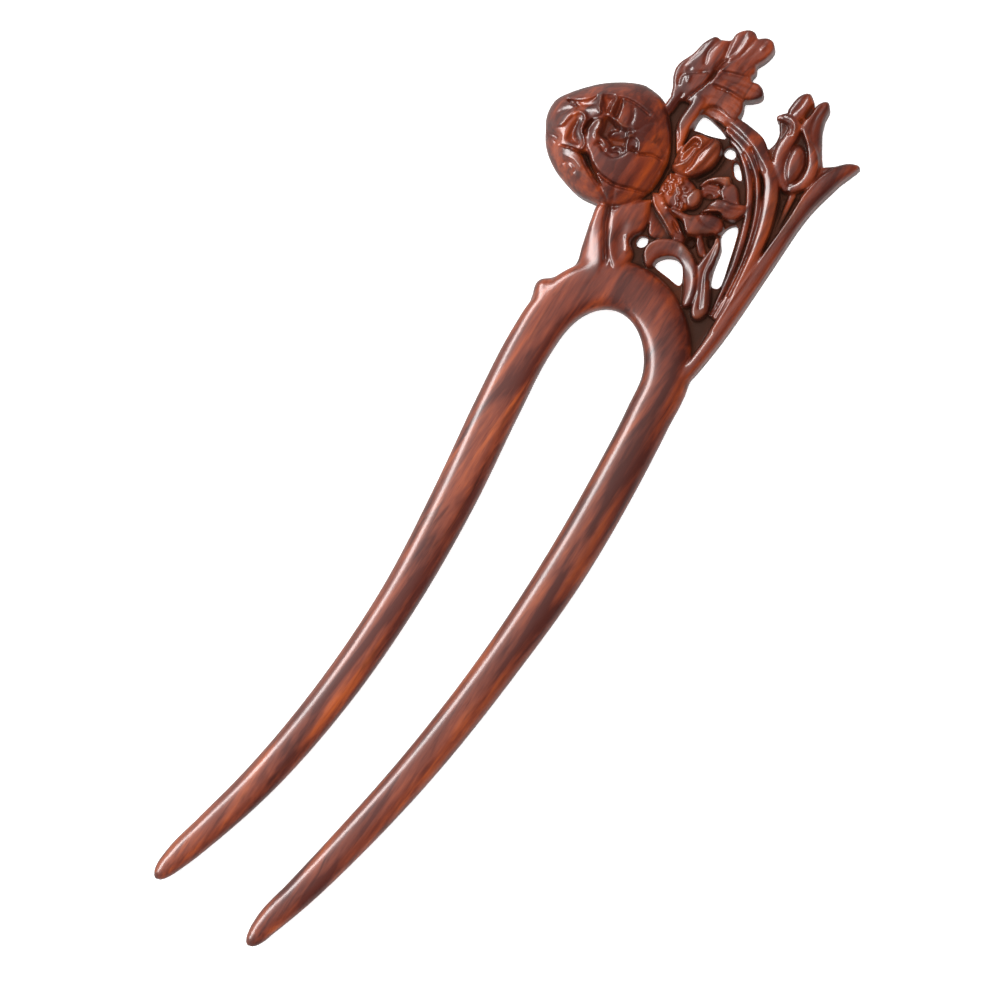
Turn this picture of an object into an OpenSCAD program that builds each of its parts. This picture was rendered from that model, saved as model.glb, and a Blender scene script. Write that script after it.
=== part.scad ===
// Two-prong hair fork carved from one piece of dark reddish wood.
// The carved face is up, the back lies on z = 0, and +Y runs from the tips to the carving.
// The drawing is made from the throat, the inner crown of the arch, and is then moved so
// that the middle of its outline, on the back plane, is the origin. Millimetres.

/* [Fork] */
// Length of the prongs, from the throat to the tips
prong_l = 122; // [100:1:140]
// Distance between the middles of the prongs where it is widest
prong_spacing = 24; // [21:0.5:27]
// Sideways bow of the pair of prongs at its middle
prong_bow = 6; // [0:0.5:8]
// Width of a prong below the arch
prong_w = 7.6; // [6:0.1:8.5]
// Thickness of a prong below the arch
prong_d = 5.6; // [4.5:0.1:6.5]
// Width of the arch at its crown
arch_w = 8.5; // [7:0.1:10]
// How far below the throat the arch springs from the prongs
arch_drop = 10; // [8:0.5:12]

/* [Carved crest] */
// Width of the drawing that the crest is laid out in
crest_w = 50; // [46:0.5:54]
// Height of that drawing above the throat
crest_h = 50; // [46:0.5:54]
// Thickness of the sunk ground between the carved forms
ground_h = 3.2; // [2.4:0.1:4]
// Rounding of the edges round the back
back_round = 0.8; // [0.4:0.1:1.2]

/* [Large bloom] */
// Width of the bloom
bloom_w = 21.5; // [19:0.1:24]
// Height of its highest petal
bloom_h = 9.5; // [8:0.1:11]

/* [Lobed leaf] */
// Length of the leaf above its stalk
leaf_l = 20; // [18:0.1:22]
// Height of its highest lobe
leaf_h = 7; // [6:0.1:8]

/* [Small blossom] */
// Width of the blossom
blossom_w = 16; // [14.5:0.1:17.5]
// Height of its highest petal
blossom_h = 7; // [6:0.1:8]
// Radius of a stamen's head
stamen_r = 0.6; // [0.4:0.05:0.8]

/* [Bud] */
// Length of the bud
bud_l = 15; // [13:0.1:17]
// Height of the bud
bud_h = 7.5; // [6.5:0.1:8.5]

/* [Curl and leaves over the arch] */
// Width of the curl over the half-moon opening
curl_w = 10; // [9:0.1:11]
// Height of the curl
curl_h = 6.5; // [5.5:0.1:7.5]
// Length of the club-shaped leaf beside the curl
club_l = 12.5; // [11:0.1:14]
// Height of the club-shaped leaf
club_h = 6; // [5:0.1:7]
// Length of the leaf under the large bloom
sprig_l = 12.5; // [11:0.1:14]
// Height of the leaf under the large bloom
sprig_h = 6.5; // [5.5:0.1:7.5]

/* [Stem, branch and blades] */
// Width of the stem over the left prong
stem_w = 3; // [2.4:0.1:3.6]
// Height of that stem
stem_h = 5.8; // [5:0.1:6.6]
// Radius of the knob on the left prong
knob_r = 2.2; // [1.8:0.1:2.6]
// Width of the branch along the right edge
branch_w = 2.3; // [1.9:0.1:2.8]
// Height of that branch
branch_h = 6; // [5:0.1:7]
// Width of one long blade
blade_w = 2; // [1.7:0.1:2.4]
// Height of the outer blade
blade_h = 6.2; // [5.2:0.1:7.2]

/* [Hidden] */
WOOD = [0.45, 0.19, 0.12];
LIMB_SIDES = 14;
BAND_SIDES = 8;
STAMEN_SIDES = 6;
KNOB_SIDES = 16;

// Roundness of a section: 2 is an ellipse, more is squarer
LIMB_POWER = 2.3;
BAND_POWER = 2.6;

// A prong from the arch down: share of the length, of the bow, of the spacing, of the width
// and of the thickness, and the lift of its back as a share of the thickness
DOWN = 0;
BOW = 1;
SPACING = 2;
WIDTH = 3;
THICK = 4;
LIFT = 5;
PRONG = [
    [0.10, 0.24, 0.98, 1.00, 1.00, 0.00],
    [0.20, 0.50, 0.98, 1.00, 1.00, 0.00],
    [0.33, 0.82, 0.925, 0.98, 0.98, 0.00],
    [0.49, 1.00, 0.84, 0.87, 0.92, 0.00],
    [0.66, 0.90, 0.785, 0.82, 0.86, 0.02],
    [0.82, 0.50, 0.765, 0.74, 0.78, 0.06],
    [0.90, 0.18, 0.78, 0.66, 0.70, 0.10],
    [0.965, -0.12, 0.79, 0.52, 0.55, 0.16],
    [0.993, -0.21, 0.80, 0.30, 0.34, 0.24],
    [1.00, -0.22, 0.80, 0.08, 0.10, 0.36]];

// The crest's own places are in hundredths of crest_w and crest_h, from the throat;
// CROWN is the height of the arch's top in them
CROWN = 17;

// Where the forms sit in the crest
BLOOM_AT = [-37, 45];
LEAF_AT = [-26, 62];
BLOSSOM_AT = [-8, 43];
BUD_AT = [22, 64];
CURL_AT = [3, 19];
CLUB_AT = [16, 26];
SPRIG_AT = [-15, 24];
KNOB_AT = [-26, -8];

// A dome-shaped form: how far out each ring lies, and how high between its edge and its top
DOME = [[1.00, 0.00], [0.90, 0.60], [0.62, 1.00]];

// A slab under domes is drawn this much smaller, so that its sides stay inside theirs
SLAB_IN = 0.985;

// Columns of the tables of domes: foot, edge and top in hundredths of the form's height,
// then the outline, in hundredths of the form's width or length unless a line says otherwise
FOOT = 0;
EDGE = 1;
TOP = 2;
OUTLINE = 3;

// Large bloom: its cup, then its petals
BLOOM_CUP = [0, 42, 56, [[-50, 0], [-47, 10], [-40, 20], [-31, 33], [-19, 42], [-5, 49],
    [5, 50], [18, 47], [31, 37], [41, 24], [48, 12], [51, 0], [51, -12], [47, -24],
    [40, -35], [30, -42], [16, -46], [2, -47], [-12, -42], [-24, -36], [-36, -28],
    [-41, -19], [-48, -11]]];
BLOOM_DOMES = [
    [30, 62, 84, [[-39, 9], [-32, 16], [-24, 22], [-17, 17], [-14, 11], [-22, 6], [-33, 5]]],
    [30, 74, 90, [[-6, 31], [4, 33], [12, 30], [14, 20], [9, 14], [1, 14]]],
    [30, 64, 97, [[8, 24], [18, 31], [33, 30], [42, 22], [47, 12], [38, 8], [27, 4],
        [16, 10]]],
    [30, 62, 100, [[27, 4], [38, 10], [48, 8], [50, -6], [46, -17], [34, -24], [16, -25],
        [4, -17], [10, -10], [20, -6]]],
    [30, 58, 84, [[-30, 4], [-24, 4], [-20, -6], [-12, -12], [-14, -20], [-27, -22],
        [-31, -10]]],
    [30, 56, 76, [[-49, 3], [-43, 8], [-34, 7], [-31, -4], [-36, -12], [-46, -13]]],
    [30, 52, 76, [[10, -28], [28, -27], [48, -18], [46, -26], [36, -37], [24, -41],
        [14, -35]]]];

// Columns of the tables of bands: across, along, width and top of each point on the way
ACROSS = 0;
ALONG = 1;
BROAD = 2;
HIGH = 3;

// Bands of the bloom, all in hundredths of its width, tops in hundredths of its height
BLOOM_BANDS = [
    [[-45, 6, 5, 60], [-38, 17, 12, 80], [-27, 29, 17, 90], [-13, 38, 18, 94],
        [1, 41, 17, 95], [15, 39, 16, 90], [27, 33, 10, 76]],
    [[-12, 9, 4, 80], [-13, 0, 8, 90], [-9, -8, 9, 94], [0, -16, 9, 92], [12, -21, 7, 84]],
    [[-32, -27, 6, 54], [-20, -28, 12, 70], [-7, -33, 14, 76], [6, -38, 12, 74],
        [20, -42, 7, 62]],
    [[-1, -2, 5, 74], [6, -3, 6, 80], [11, -8, 6, 84]]];

// Lobed leaf: its outline as a slab, its lobes, then its stalks, in hundredths of its length
LEAF_SLAB = 60;
LEAF_EDGE = [[-5, 8], [-6, 22], [-13, 41], [-10, 54], [-6, 68], [-2, 76], [7, 79], [12, 91],
    [20, 97], [27, 93], [36, 99], [42, 91], [38, 77], [42, 67], [54, 62], [55, 58], [48, 51],
    [49, 42], [50, 34], [38, 34], [26, 30], [18, 10]];
LEAF_DOMES = [
    [30, 66, 92, [[-8, 24], [-15, 42], [-12, 54], [-8, 68], [-3, 78], [6, 80], [12, 72],
        [11, 52], [12, 40], [3, 24]]],
    [30, 66, 100, [[7, 64], [9, 84], [13, 95], [20, 99], [26, 95], [25, 78], [20, 58]]],
    [30, 66, 98, [[18, 64], [24, 80], [26, 95], [32, 100], [39, 100], [44, 92], [41, 80],
        [40, 70], [30, 60]]],
    [30, 64, 94, [[14, 50], [20, 62], [38, 66], [51, 65], [57, 58], [48, 50], [32, 47],
        [18, 43]]],
    [30, 64, 92, [[12, 28], [15, 41], [28, 46], [40, 48], [48, 43], [52, 33], [38, 33],
        [24, 29]]]];
LEAF_BANDS = [
    [[26, -24, 9, 74], [20, -11, 12, 86], [16, 2, 13, 88], [15, 14, 12, 88],
        [16, 26, 12, 90], [18, 40, 12, 94]],
    [[6, -6, 6, 64], [0, 6, 8, 76], [-2, 18, 8, 80], [1, 32, 10, 84]]];

// Small blossom: petals, heart, then its lowest petal as a band, in hundredths of its width
BLOSSOM_DOMES = [
    [0, 62, 100, [[-23, 28], [-22, 44], [-18, 60], [-8, 66], [4, 69], [12, 64], [15, 54],
        [12, 38], [2, 23], [-12, 19], [-21, 20]]],
    [0, 56, 82, [[18, 22], [24, 35], [34, 43], [41, 40], [38, 28], [28, 20]]],
    [0, 54, 76, [[33, 27], [40, 38], [48, 42], [56, 34], [61, 27], [46, 21]]],
    [0, 58, 94, [[30, -2], [35, 12], [42, 22], [56, 26], [68, 28], [68, 16], [58, 7],
        [44, 6]]],
    [0, 56, 96, [[8, -18], [20, -12], [32, -5], [44, 5], [56, 4], [61, -6], [52, -17],
        [38, -27], [26, -26]]],
    [0, 50, 68, [[-20, 12], [-8, 20], [8, 20], [16, 8], [12, -12], [-2, -18], [-19, -10]]],
    [30, 60, 88, [[10, 10], [15, 17], [23, 15], [26, 4], [18, -6], [10, -2]]]];
BLOSSOM_BANDS = [
    [[-22, -13, 6, 66], [-12, -18, 10, 84], [2, -23, 12, 88], [16, -30, 12, 84],
        [30, -37, 7, 70]]];
STAMENS = [[-15, 13], [-15, 3], [-9, 8], [-7, -2], [-2, 14], [0, 5], [3, -5], [8, 1],
    [-11, -10], [-3, -15], [4, -17], [12, -10]];
STAMEN_TOP = 84;

// Bud, in thirtieths of its length: its outline as a slab, its cap, side lobe and core, then
// its two sepals
BUD_PARTS = 30;
BUD_SLAB = 60;
BUD_EDGE = [[-15, 19], [-12, 22], [-14, 26], [-12, 29], [-9, 27], [-6, 29], [-3, 25], [2, 16],
    [6, 8], [4, 3], [0, 1], [-5, 3], [-10, 7], [-11, 14]];
BUD_DOMES = [
    [30, 66, 100, [[-9, 20], [-8, 28], [-6, 31], [-4, 28], [-1, 21], [5, 13], [3, 9],
        [-4, 15]]],
    [30, 66, 90, [[-15, 22], [-15, 28], [-12, 31], [-9, 29], [-8, 24], [-11, 20]]],
    [30, 62, 82, [[-7, 12], [-5, 17], [-1, 15], [1, 8], [-1, 2], [-5, 5]]]];
BUD_BANDS = [
    [[-16, 18, 3, 60], [-12, 20, 5, 84], [-9, 16, 5, 90], [-9, 10, 5, 90], [-6, 4, 5, 84],
        [0, 0, 3, 62]],
    [[-1, 17, 3, 84], [3, 12, 4, 88], [3, 5, 4, 84], [1, 0, 3, 66]]];

// Curl, in twentieths of its width
CURL_PARTS = 20;
CURL = [[13, -6, 5, 76], [11, 0, 5, 90], [9, 5, 5, 96], [5, 8, 5, 100], [0, 9, 5, 100],
    [-5, 7, 5, 98], [-7, 3, 5, 90], [-7, -2, 4, 76]];

// Club-shaped leaf and leaf under the bloom, in twenty-fifths of their lengths
SPRAY_PARTS = 25;
CLUB = [[-4, 15, 3, 70], [-3, 9, 5, 92], [-2, 3, 5, 96], [0, -2, 6, 98], [3, -8, 7, 100],
    [4, -12, 5, 90], [5, -14, 2, 60]];
SPRIG = [0, 60, 100, [[-1, 13], [-4, 7], [-5, 1], [-3, -6], [1, -10], [6, -12], [8, -8],
    [4, -3], [4, 2], [5, 7]]];

// Stem, branch and blades are laid out in the crest itself: widths in hundredths of their
// own width and tops in hundredths of their own height
STEM = [[-27, 30, 80, 76], [-25, 21, 80, 90], [-22, 14, 100, 98], [-20, 7, 110, 100],
    [-20, -1, 110, 96], [-20, -9, 90, 80]];
BRANCH = [[28, -14, 70, 70], [29, -4, 90, 90], [30, 6, 96, 98], [30, 22, 96, 98],
    [30, 40, 96, 98], [30, 56, 100, 98], [30, 66, 108, 100], [32, 73, 116, 100],
    [34, 78, 110, 94], [36, 82, 70, 80], [37, 84, 20, 60]];
BLADES = [
    [[-24, 72, 90, 76], [-10, 71, 100, 86], [0, 72, 140, 100], [7, 69, 110, 100],
        [14, 65, 95, 98], [19, 59, 95, 100], [22, 51, 95, 98], [24, 43, 95, 96],
        [26, 33, 95, 94], [27, 20, 90, 92], [27, 6, 90, 90], [26, -4, 80, 76]],
    [[-14, 69, 80, 80], [-2, 69, 90, 90], [8, 64, 85, 92], [15, 57, 85, 92],
        [18, 50, 85, 90], [21, 41, 85, 88], [23, 32, 85, 86], [25, 20, 85, 84],
        [26, 6, 80, 78]],
    [[-6, 67, 70, 74], [2, 65, 80, 84], [9, 59, 80, 86], [13, 53, 80, 86], [16, 46, 80, 84],
        [19, 38, 80, 82], [22, 29, 80, 80], [24, 18, 80, 76], [25, 6, 70, 70]]];

// Sunk ground between the forms, in the crest
GROUND = [[-21, 2], [-24, 14], [-26, 24], [-31, 40], [-35, 56], [-30, 70], [-15, 73],
    [2, 73], [9, 69], [12, 74], [21, 72], [27, 76], [30, 72], [30, 40], [30, 6], [28, -4],
    [22, 2], [10, 10], [0, 13], [-12, 8]];

// Openings cut right through, in the crest
OPENINGS = [
    [[-17, 70], [-10, 70], [-6, 68], [-7, 66], [-11, 65], [-17, 63]],
    [[-2, 64], [-1, 66], [1, 65], [2, 63], [0, 62]],
    [[3, 61], [4, 62], [6, 60], [7, 58], [5, 57], [4, 59]],
    [[11, 43], [14, 46], [16, 44], [17, 39], [19, 34], [22, 27], [20, 25], [18, 28],
        [16, 35], [12, 40]],
    [[-1, 18], [-1, 20], [1, 23], [4, 24], [7, 23], [10, 18], [5, 17]],
    [[-10, 23], [-10, 25], [-7, 26], [-7, 23], [-9, 21]]];

// Point between b and c on the smooth curve that runs a, b, c, d
function blend(a, b, c, d, t) =
    0.5 * (2 * b + (c - a) * t + (2 * a - 5 * b + 4 * c - d) * t * t
        + (3 * b - a - 3 * c + d) * t * t * t);

// Smooth closed curve through the points, with so many steps from each to the next
function loop_of(p, steps) = let (n = len(p)) [for (i = [0:n - 1]) for (k = [0:steps - 1])
    blend(p[(i + n - 1) % n], p[i], p[(i + 1) % n], p[(i + 2) % n], k / steps)];

// Smooth open curve through the rows, with so many steps from each to the next
function line_of(p, steps) = let (n = len(p)) concat(
    [for (i = [0:n - 2]) for (k = [0:steps - 1])
        blend(p[max(i - 1, 0)], p[i], p[i + 1], p[min(i + 2, n - 1)], k / steps)],
    [p[n - 1]]);

function sum_of(p, i = 0) = i == len(p) - 1 ? p[i] : p[i] + sum_of(p, i + 1);
function middle_of(p) = sum_of(p) / len(p);
function area_of(p) = sum_of([for (i = [0:len(p) - 1]) let (q = p[(i + 1) % len(p)])
    p[i][0] * q[1] - q[0] * p[i][1]]);
function turned_left(p) = area_of(p) > 0 ? p : [for (i = [len(p) - 1:-1:0]) p[i]];
function sign_power(v, e) = sign(v) * pow(abs(v), e);

// Place in the crest of a pair in its hundredths
function crest(p) = [p[0] * crest_w / 100, arch_w + (p[1] - CROWN) * crest_h / 100];

// Places of a form's own table, from where the form sits and the size of one part
function drawn(p, place, part) = [for (q = p) crest(place) + part * [q[0], q[1]]];

// Rows of a band made ready to sweep: x, y, width, foot and top
function band_rows(rows, place, part, height) = [for (r = rows)
    let (q = crest(place) + part * [r[ACROSS], r[ALONG]])
    [q[0], q[1], part * r[BROAD], 0, height * r[HIGH] / 100]];
function crest_rows(rows, width, height) = [for (r = rows)
    let (q = crest([r[ACROSS], r[ALONG]]))
    [q[0], q[1], width * r[BROAD] / 100, 0, height * r[HIGH] / 100]];

// Section of a band at row i: a rounded oval square to the way it runs
function section(rows, i, sides, power) =
    let (
        a = rows[max(i - 1, 0)],
        b = rows[min(i + 1, len(rows) - 1)],
        r = rows[i],
        run = [b[0] - a[0], b[1] - a[1]] / norm([b[0] - a[0], b[1] - a[1]]))
    [for (k = [0:sides - 1])
        let (
            turn = 360 * (k + 0.5) / sides,
            side = r[2] / 2 * sign_power(cos(turn), 2 / power),
            rise = (r[4] - r[3]) / 2 * (1 + sign_power(sin(turn), 2 / power)))
        [r[0] - run[1] * side, r[1] + run[0] * side, r[3] + rise]];

// Solid through a row of rings, closed at both ends
module skin(rings) {
    n = len(rings[0]);
    m = len(rings);
    sides = [for (i = [0:m - 2]) for (k = [0:n - 1]) let (
        here = i * n + k,
        next = i * n + (k + 1) % n) each [
        [here, here + n, next + n],
        [here, next + n, next]]];
    ends = [for (k = [0:n - 1]) each [
        [m * n, k, (k + 1) % n],
        [m * n + 1, (m - 1) * n + (k + 1) % n, (m - 1) * n + k]]];
    polyhedron(
        concat([for (r = rings) each r], [middle_of(rings[0]), middle_of(rings[m - 1])]),
        concat(sides, ends), convexity = 6);
}

module band(rows, steps = 2, sides = BAND_SIDES, power = BAND_POWER) {
    way = line_of(rows, steps);
    skin([for (i = [0:len(way) - 1]) section(way, i, sides, power)]);
}

// Dome over an outline, from its foot up to its edge and on to its top
module dome(outline, foot, edge, top, steps = 2) {
    rim = turned_left(loop_of(outline, steps));
    heart = middle_of(rim);
    rings = concat(
        [[0.9, foot], [1, foot + back_round]],
        [for (d = DOME) [d[0], edge + (top - edge) * d[1]]]);
    skin([for (r = rings) [for (p = rim)
        [heart[0] + r[0] * (p[0] - heart[0]), heart[1] + r[0] * (p[1] - heart[1]), r[1]]]]);
}

module domes(table, place, part, height) {
    for (row = table)
        dome(drawn(row[OUTLINE], place, part), height * row[FOOT] / 100,
            height * row[EDGE] / 100, height * row[TOP] / 100);
}

module bands(table, place, part, height) {
    for (rows = table)
        band(band_rows(rows, place, part, height));
}

// Way of the middle of one prong, side -1 for the left one, from the arch to the tip
function prong_rows(side) = [for (r = PRONG) [
    prong_bow * r[BOW] + side * prong_spacing * r[SPACING] / 2,
    -prong_l * r[DOWN],
    prong_w * r[WIDTH],
    prong_d * r[LIFT],
    prong_d * (r[LIFT] + r[THICK])]];

// Way of the arch: a half ellipse that grows from the prongs' width to its own
ARCH_STEPS = 8;
arch_half = prong_spacing * PRONG[0][SPACING] / 2;
arch_rows = [for (i = [1:ARCH_STEPS - 1]) let (turn = 180 * i / ARCH_STEPS)
    [prong_bow * PRONG[0][BOW] * (1 - sin(turn)) - arch_half * cos(turn),
        (arch_drop + arch_w / 2) * sin(turn) - arch_drop,
        prong_w + (arch_w - prong_w) * sin(turn), 0, prong_d]];
function reversed(p) = [for (i = [len(p) - 1:-1:0]) p[i]];
limb_way = line_of(concat(reversed(prong_rows(-1)), arch_rows, prong_rows(1)), 2);

module limb() {
    color(WOOD) skin([for (i = [0:len(limb_way) - 1])
        section(limb_way, i, LIMB_SIDES, LIMB_POWER)]);
}

// Level slab over an outline
module slab(outline, top, steps = 2) {
    linear_extrude(top) polygon(loop_of(outline, steps));
}

module ground() {
    color(WOOD) slab([for (p = GROUND) crest(p)], ground_h);
}

module bloom() {
    part = bloom_w / 100;
    color(WOOD) domes(concat([BLOOM_CUP], BLOOM_DOMES), BLOOM_AT, part, bloom_h);
    color(WOOD) bands(BLOOM_BANDS, BLOOM_AT, part, bloom_h);
}

module leaf() {
    part = leaf_l / 100;
    color(WOOD) slab(drawn(LEAF_EDGE, LEAF_AT, SLAB_IN * part), leaf_h * LEAF_SLAB / 100);
    color(WOOD) domes(LEAF_DOMES, LEAF_AT, part, leaf_h);
    color(WOOD) bands(LEAF_BANDS, LEAF_AT, part, leaf_h);
}

module stamens(part) {
    for (s = STAMENS)
        translate(crest(BLOSSOM_AT) + part * s) hull() {
            translate([0, 0, blossom_h / 2]) sphere(stamen_r, $fn = STAMEN_SIDES);
            translate([0, 0, blossom_h * STAMEN_TOP / 100 - stamen_r])
                sphere(stamen_r, $fn = STAMEN_SIDES);
        }
}

module blossom() {
    part = blossom_w / 100;
    color(WOOD) domes(BLOSSOM_DOMES, BLOSSOM_AT, part, blossom_h);
    color(WOOD) bands(BLOSSOM_BANDS, BLOSSOM_AT, part, blossom_h);
    color(WOOD) stamens(part);
}

module bud() {
    part = bud_l / BUD_PARTS;
    color(WOOD) slab(drawn(BUD_EDGE, BUD_AT, SLAB_IN * part), bud_h * BUD_SLAB / 100);
    color(WOOD) domes(BUD_DOMES, BUD_AT, part, bud_h);
    color(WOOD) bands(BUD_BANDS, BUD_AT, part, bud_h);
}

module curl() {
    color(WOOD) band(band_rows(CURL, CURL_AT, curl_w / CURL_PARTS, curl_h));
}

module club() {
    color(WOOD) band(band_rows(CLUB, CLUB_AT, club_l / SPRAY_PARTS, club_h));
}

module sprig() {
    color(WOOD) domes([SPRIG], SPRIG_AT, sprig_l / SPRAY_PARTS, sprig_h);
}

module stem() {
    color(WOOD) band(crest_rows(STEM, stem_w, stem_h));
    color(WOOD) translate(concat(crest(KNOB_AT), [prong_d / 2]))
        sphere(knob_r, $fn = KNOB_SIDES);
}

module branch() {
    color(WOOD) band(crest_rows(BRANCH, branch_w, branch_h));
}

module blades() {
    color(WOOD) for (rows = BLADES)
        band(crest_rows(rows, blade_w, blade_h));
}

module openings() {
    for (p = OPENINGS)
        translate([0, 0, -1]) slab([for (q = p) crest(q)], bloom_h + 2);
}

// Outermost points of the whole outline, for the origin
edge_points = concat(
    [for (r = limb_way) each [[r[0] - r[2] / 2, r[1]], [r[0] + r[2] / 2, r[1]]]],
    loop_of(drawn(BLOOM_CUP[OUTLINE], BLOOM_AT, bloom_w / 100), 2),
    [for (row = LEAF_DOMES) each loop_of(drawn(row[OUTLINE], LEAF_AT, leaf_l / 100), 2)]);
xs = [for (p = edge_points) p[0]];
ys = [for (p = edge_points) p[1]];

module fork() {
    translate([-(min(xs) + max(xs)) / 2, -(min(ys) + max(ys)) / 2, 0])
        difference() {
            union() {
                limb();
                ground();
                bloom();
                leaf();
                blossom();
                bud();
                curl();
                club();
                sprig();
                stem();
                branch();
                blades();
            }
            openings();
        }
}

fork();
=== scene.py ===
import math

import bpy
import numpy as np
from mathutils import Matrix, Vector


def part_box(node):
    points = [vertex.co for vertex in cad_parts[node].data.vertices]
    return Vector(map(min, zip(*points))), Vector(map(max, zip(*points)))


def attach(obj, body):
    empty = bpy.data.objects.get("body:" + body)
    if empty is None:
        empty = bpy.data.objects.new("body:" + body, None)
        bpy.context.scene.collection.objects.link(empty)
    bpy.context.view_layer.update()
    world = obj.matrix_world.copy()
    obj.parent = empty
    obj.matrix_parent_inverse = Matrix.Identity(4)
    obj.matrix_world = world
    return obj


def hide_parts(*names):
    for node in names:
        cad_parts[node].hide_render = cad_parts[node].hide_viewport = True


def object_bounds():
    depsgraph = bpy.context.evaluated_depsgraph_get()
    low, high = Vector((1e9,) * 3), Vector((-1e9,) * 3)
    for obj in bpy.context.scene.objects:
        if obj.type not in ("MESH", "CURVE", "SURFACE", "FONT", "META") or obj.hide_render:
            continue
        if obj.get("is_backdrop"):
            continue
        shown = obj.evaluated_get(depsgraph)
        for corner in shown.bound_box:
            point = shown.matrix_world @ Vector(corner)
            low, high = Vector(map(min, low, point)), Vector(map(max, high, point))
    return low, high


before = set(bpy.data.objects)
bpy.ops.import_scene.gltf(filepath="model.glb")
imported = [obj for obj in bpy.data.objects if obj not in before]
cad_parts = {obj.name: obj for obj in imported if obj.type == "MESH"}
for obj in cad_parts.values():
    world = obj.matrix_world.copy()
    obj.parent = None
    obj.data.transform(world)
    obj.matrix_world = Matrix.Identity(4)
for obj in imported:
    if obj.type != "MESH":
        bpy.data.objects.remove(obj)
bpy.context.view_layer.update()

mm = 0.001

# The fork is one carved piece of wood, so it is one closed surface. It is worked out in
# millimetres from the throat, the inner crown of the arch: +Y runs up into the carving, the
# carved face is up and the back lies on z = 0.
throat = {"fromLeftEdge": 29.25, "fromTips": 122.0}
low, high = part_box("fork")
origin = Vector((low.x + throat["fromLeftEdge"] * mm, low.y + throat["fromTips"] * mm, 0))
print("frame loaded, throat at", tuple(round(c / mm, 2) for c in origin), "mm")


def spans(points, closed):
    # The points before, at, after and two after each span of the row of points
    if closed:
        return [np.roll(points, k, axis=0) for k in (1, 0, -1, -2)]
    p = np.concatenate([points[:1], points, points[-1:]])
    return [p[:-3], p[1:-2], p[2:-1], p[3:]]


def smooth(points, closed=False, steps=5, uneven=False):
    # Smooth curve: each span is the cubic through its own two points whose slopes are half
    # the chord between their neighbours, or for uneven spans the slopes of the two spans at
    # the point, each weighted by the other's length
    p = np.array(points, float)
    a, b, c, d = spans(p, closed)
    first, last = (c - a) / 2, (d - b) / 2
    if uneven:
        before, own, after = [np.maximum(np.linalg.norm(side[:, :2], axis=1), 0.01)[:, None]
                              for side in (b - a, c - b, d - c)]
        first = ((b - a) * own**2 / before + (c - b) * before) / (before + own)
        last = ((c - b) * after + (d - c) * own**2 / after) / (own + after)
    t = (np.arange(steps) / steps)[:, None, None]
    curve = (b + first * t + (3 * (c - b) - 2 * first - last) * t**2
             + (2 * (b - c) + first + last) * t**3)
    curve = curve.transpose(1, 0, 2).reshape(-1, p.shape[1])
    return curve if closed else np.concatenate([curve, p[-1:]])


def nearestOn(x, y, path):
    # Distance squared from each place to the path, and the path's other columns there: the
    # foot of the perpendicular on every span, held between its ends, and the nearest kept
    path = np.asarray(path, np.float32)
    a, run = path[:-1], path[1:] - path[:-1]
    x, y = np.asarray(x, np.float32), np.asarray(y, np.float32)
    ax, ay = x[..., None] - a[:, 0], y[..., None] - a[:, 1]
    t = np.clip((ax * run[:, 0] + ay * run[:, 1]) / ((run[:, :2]**2).sum(1) + 1e-9), 0, 1)
    d2 = (ax - t * run[:, 0])**2 + (ay - t * run[:, 1])**2
    i = d2.argmin(-1)
    pick = np.take_along_axis(t, i[..., None], -1)
    return np.take_along_axis(d2, i[..., None], -1)[..., 0], a[i, 2:] + pick * run[i, 2:]


def insideOf(x, y, loop):
    # For each place: its distance to the edge, positive inside; the height carried in from
    # the edge, the mean of the edge's heights weighted by how wide each span looks from
    # there over its distance; and a soft depth, pi over the sum of those weights
    a = np.asarray(loop, np.float32)
    run = np.roll(a, -1, axis=0) - a
    x, y = np.asarray(x, np.float32), np.asarray(y, np.float32)
    ax, ay = x[..., None] - a[:, 0], y[..., None] - a[:, 1]
    bx, by = ax - run[:, 0], ay - run[:, 1]
    length = np.hypot(run[:, 0], run[:, 1]) + 1e-6
    t = np.clip((ax * run[:, 0] + ay * run[:, 1]) / length**2, 0, 1)
    deep = np.sqrt(((ax - t * run[:, 0])**2 + (ay - t * run[:, 1])**2).min(-1))
    rise = np.where(np.abs(run[:, 1]) > 1e-9, run[:, 1], 1e-9)
    crossed = ((ay > 0) != (by > 0)) & (ax < run[:, 0] * ay / rise)
    inside = crossed.sum(-1) % 2 == 1
    away = np.sqrt((ax**2 + ay**2) * (bx**2 + by**2)) + 1e-6
    angle = np.arccos(np.clip((ax * bx + ay * by) / away, -1, 1))
    weight = length / away * angle / np.maximum(np.sin(angle), 1e-4)
    total = weight.sum(-1)
    carried = (weight * (a[:, 2] + t * run[:, 2])).sum(-1) / total
    return np.where(inside, deep, -deep), carried, math.pi / total


# The relief is worked out on a fine level grid: the height of the carved face, and how far
# inside the fork's outline each place lies, negative outside it
sheet = {"left": -30.6, "right": 21.0, "bottom": -12.0, "top": 53.0, "step": 0.1}
nothing = {"height": -2.0, "inward": -6.0}
mapX = np.arange(sheet["left"], sheet["right"], sheet["step"])
mapY = np.arange(sheet["bottom"], sheet["top"], sheet["step"])
height = np.full((len(mapY), len(mapX)), nothing["height"])
inward = np.full(height.shape, nothing["inward"])


def cornerOf(points, margin):
    # The part of the grid round some points, and its places
    (x0, y0), (x1, y1) = points[:, :2].min(0) - margin, points[:, :2].max(0) + margin
    i0, i1 = np.searchsorted(mapX, [x0, x1])
    j0, j1 = np.searchsorted(mapY, [y0, y1])
    return (slice(j0, j1), slice(i0, i1)), *np.meshgrid(mapX[i0:i1], mapY[j0:j1])


# How far round its own points each kind of cut is worked out
margins = {"petal": 2.0, "lift": 0.3, "strap": 3.0, "crease": 2.0, "hollow": 0.5, "opening": 2.5}


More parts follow.
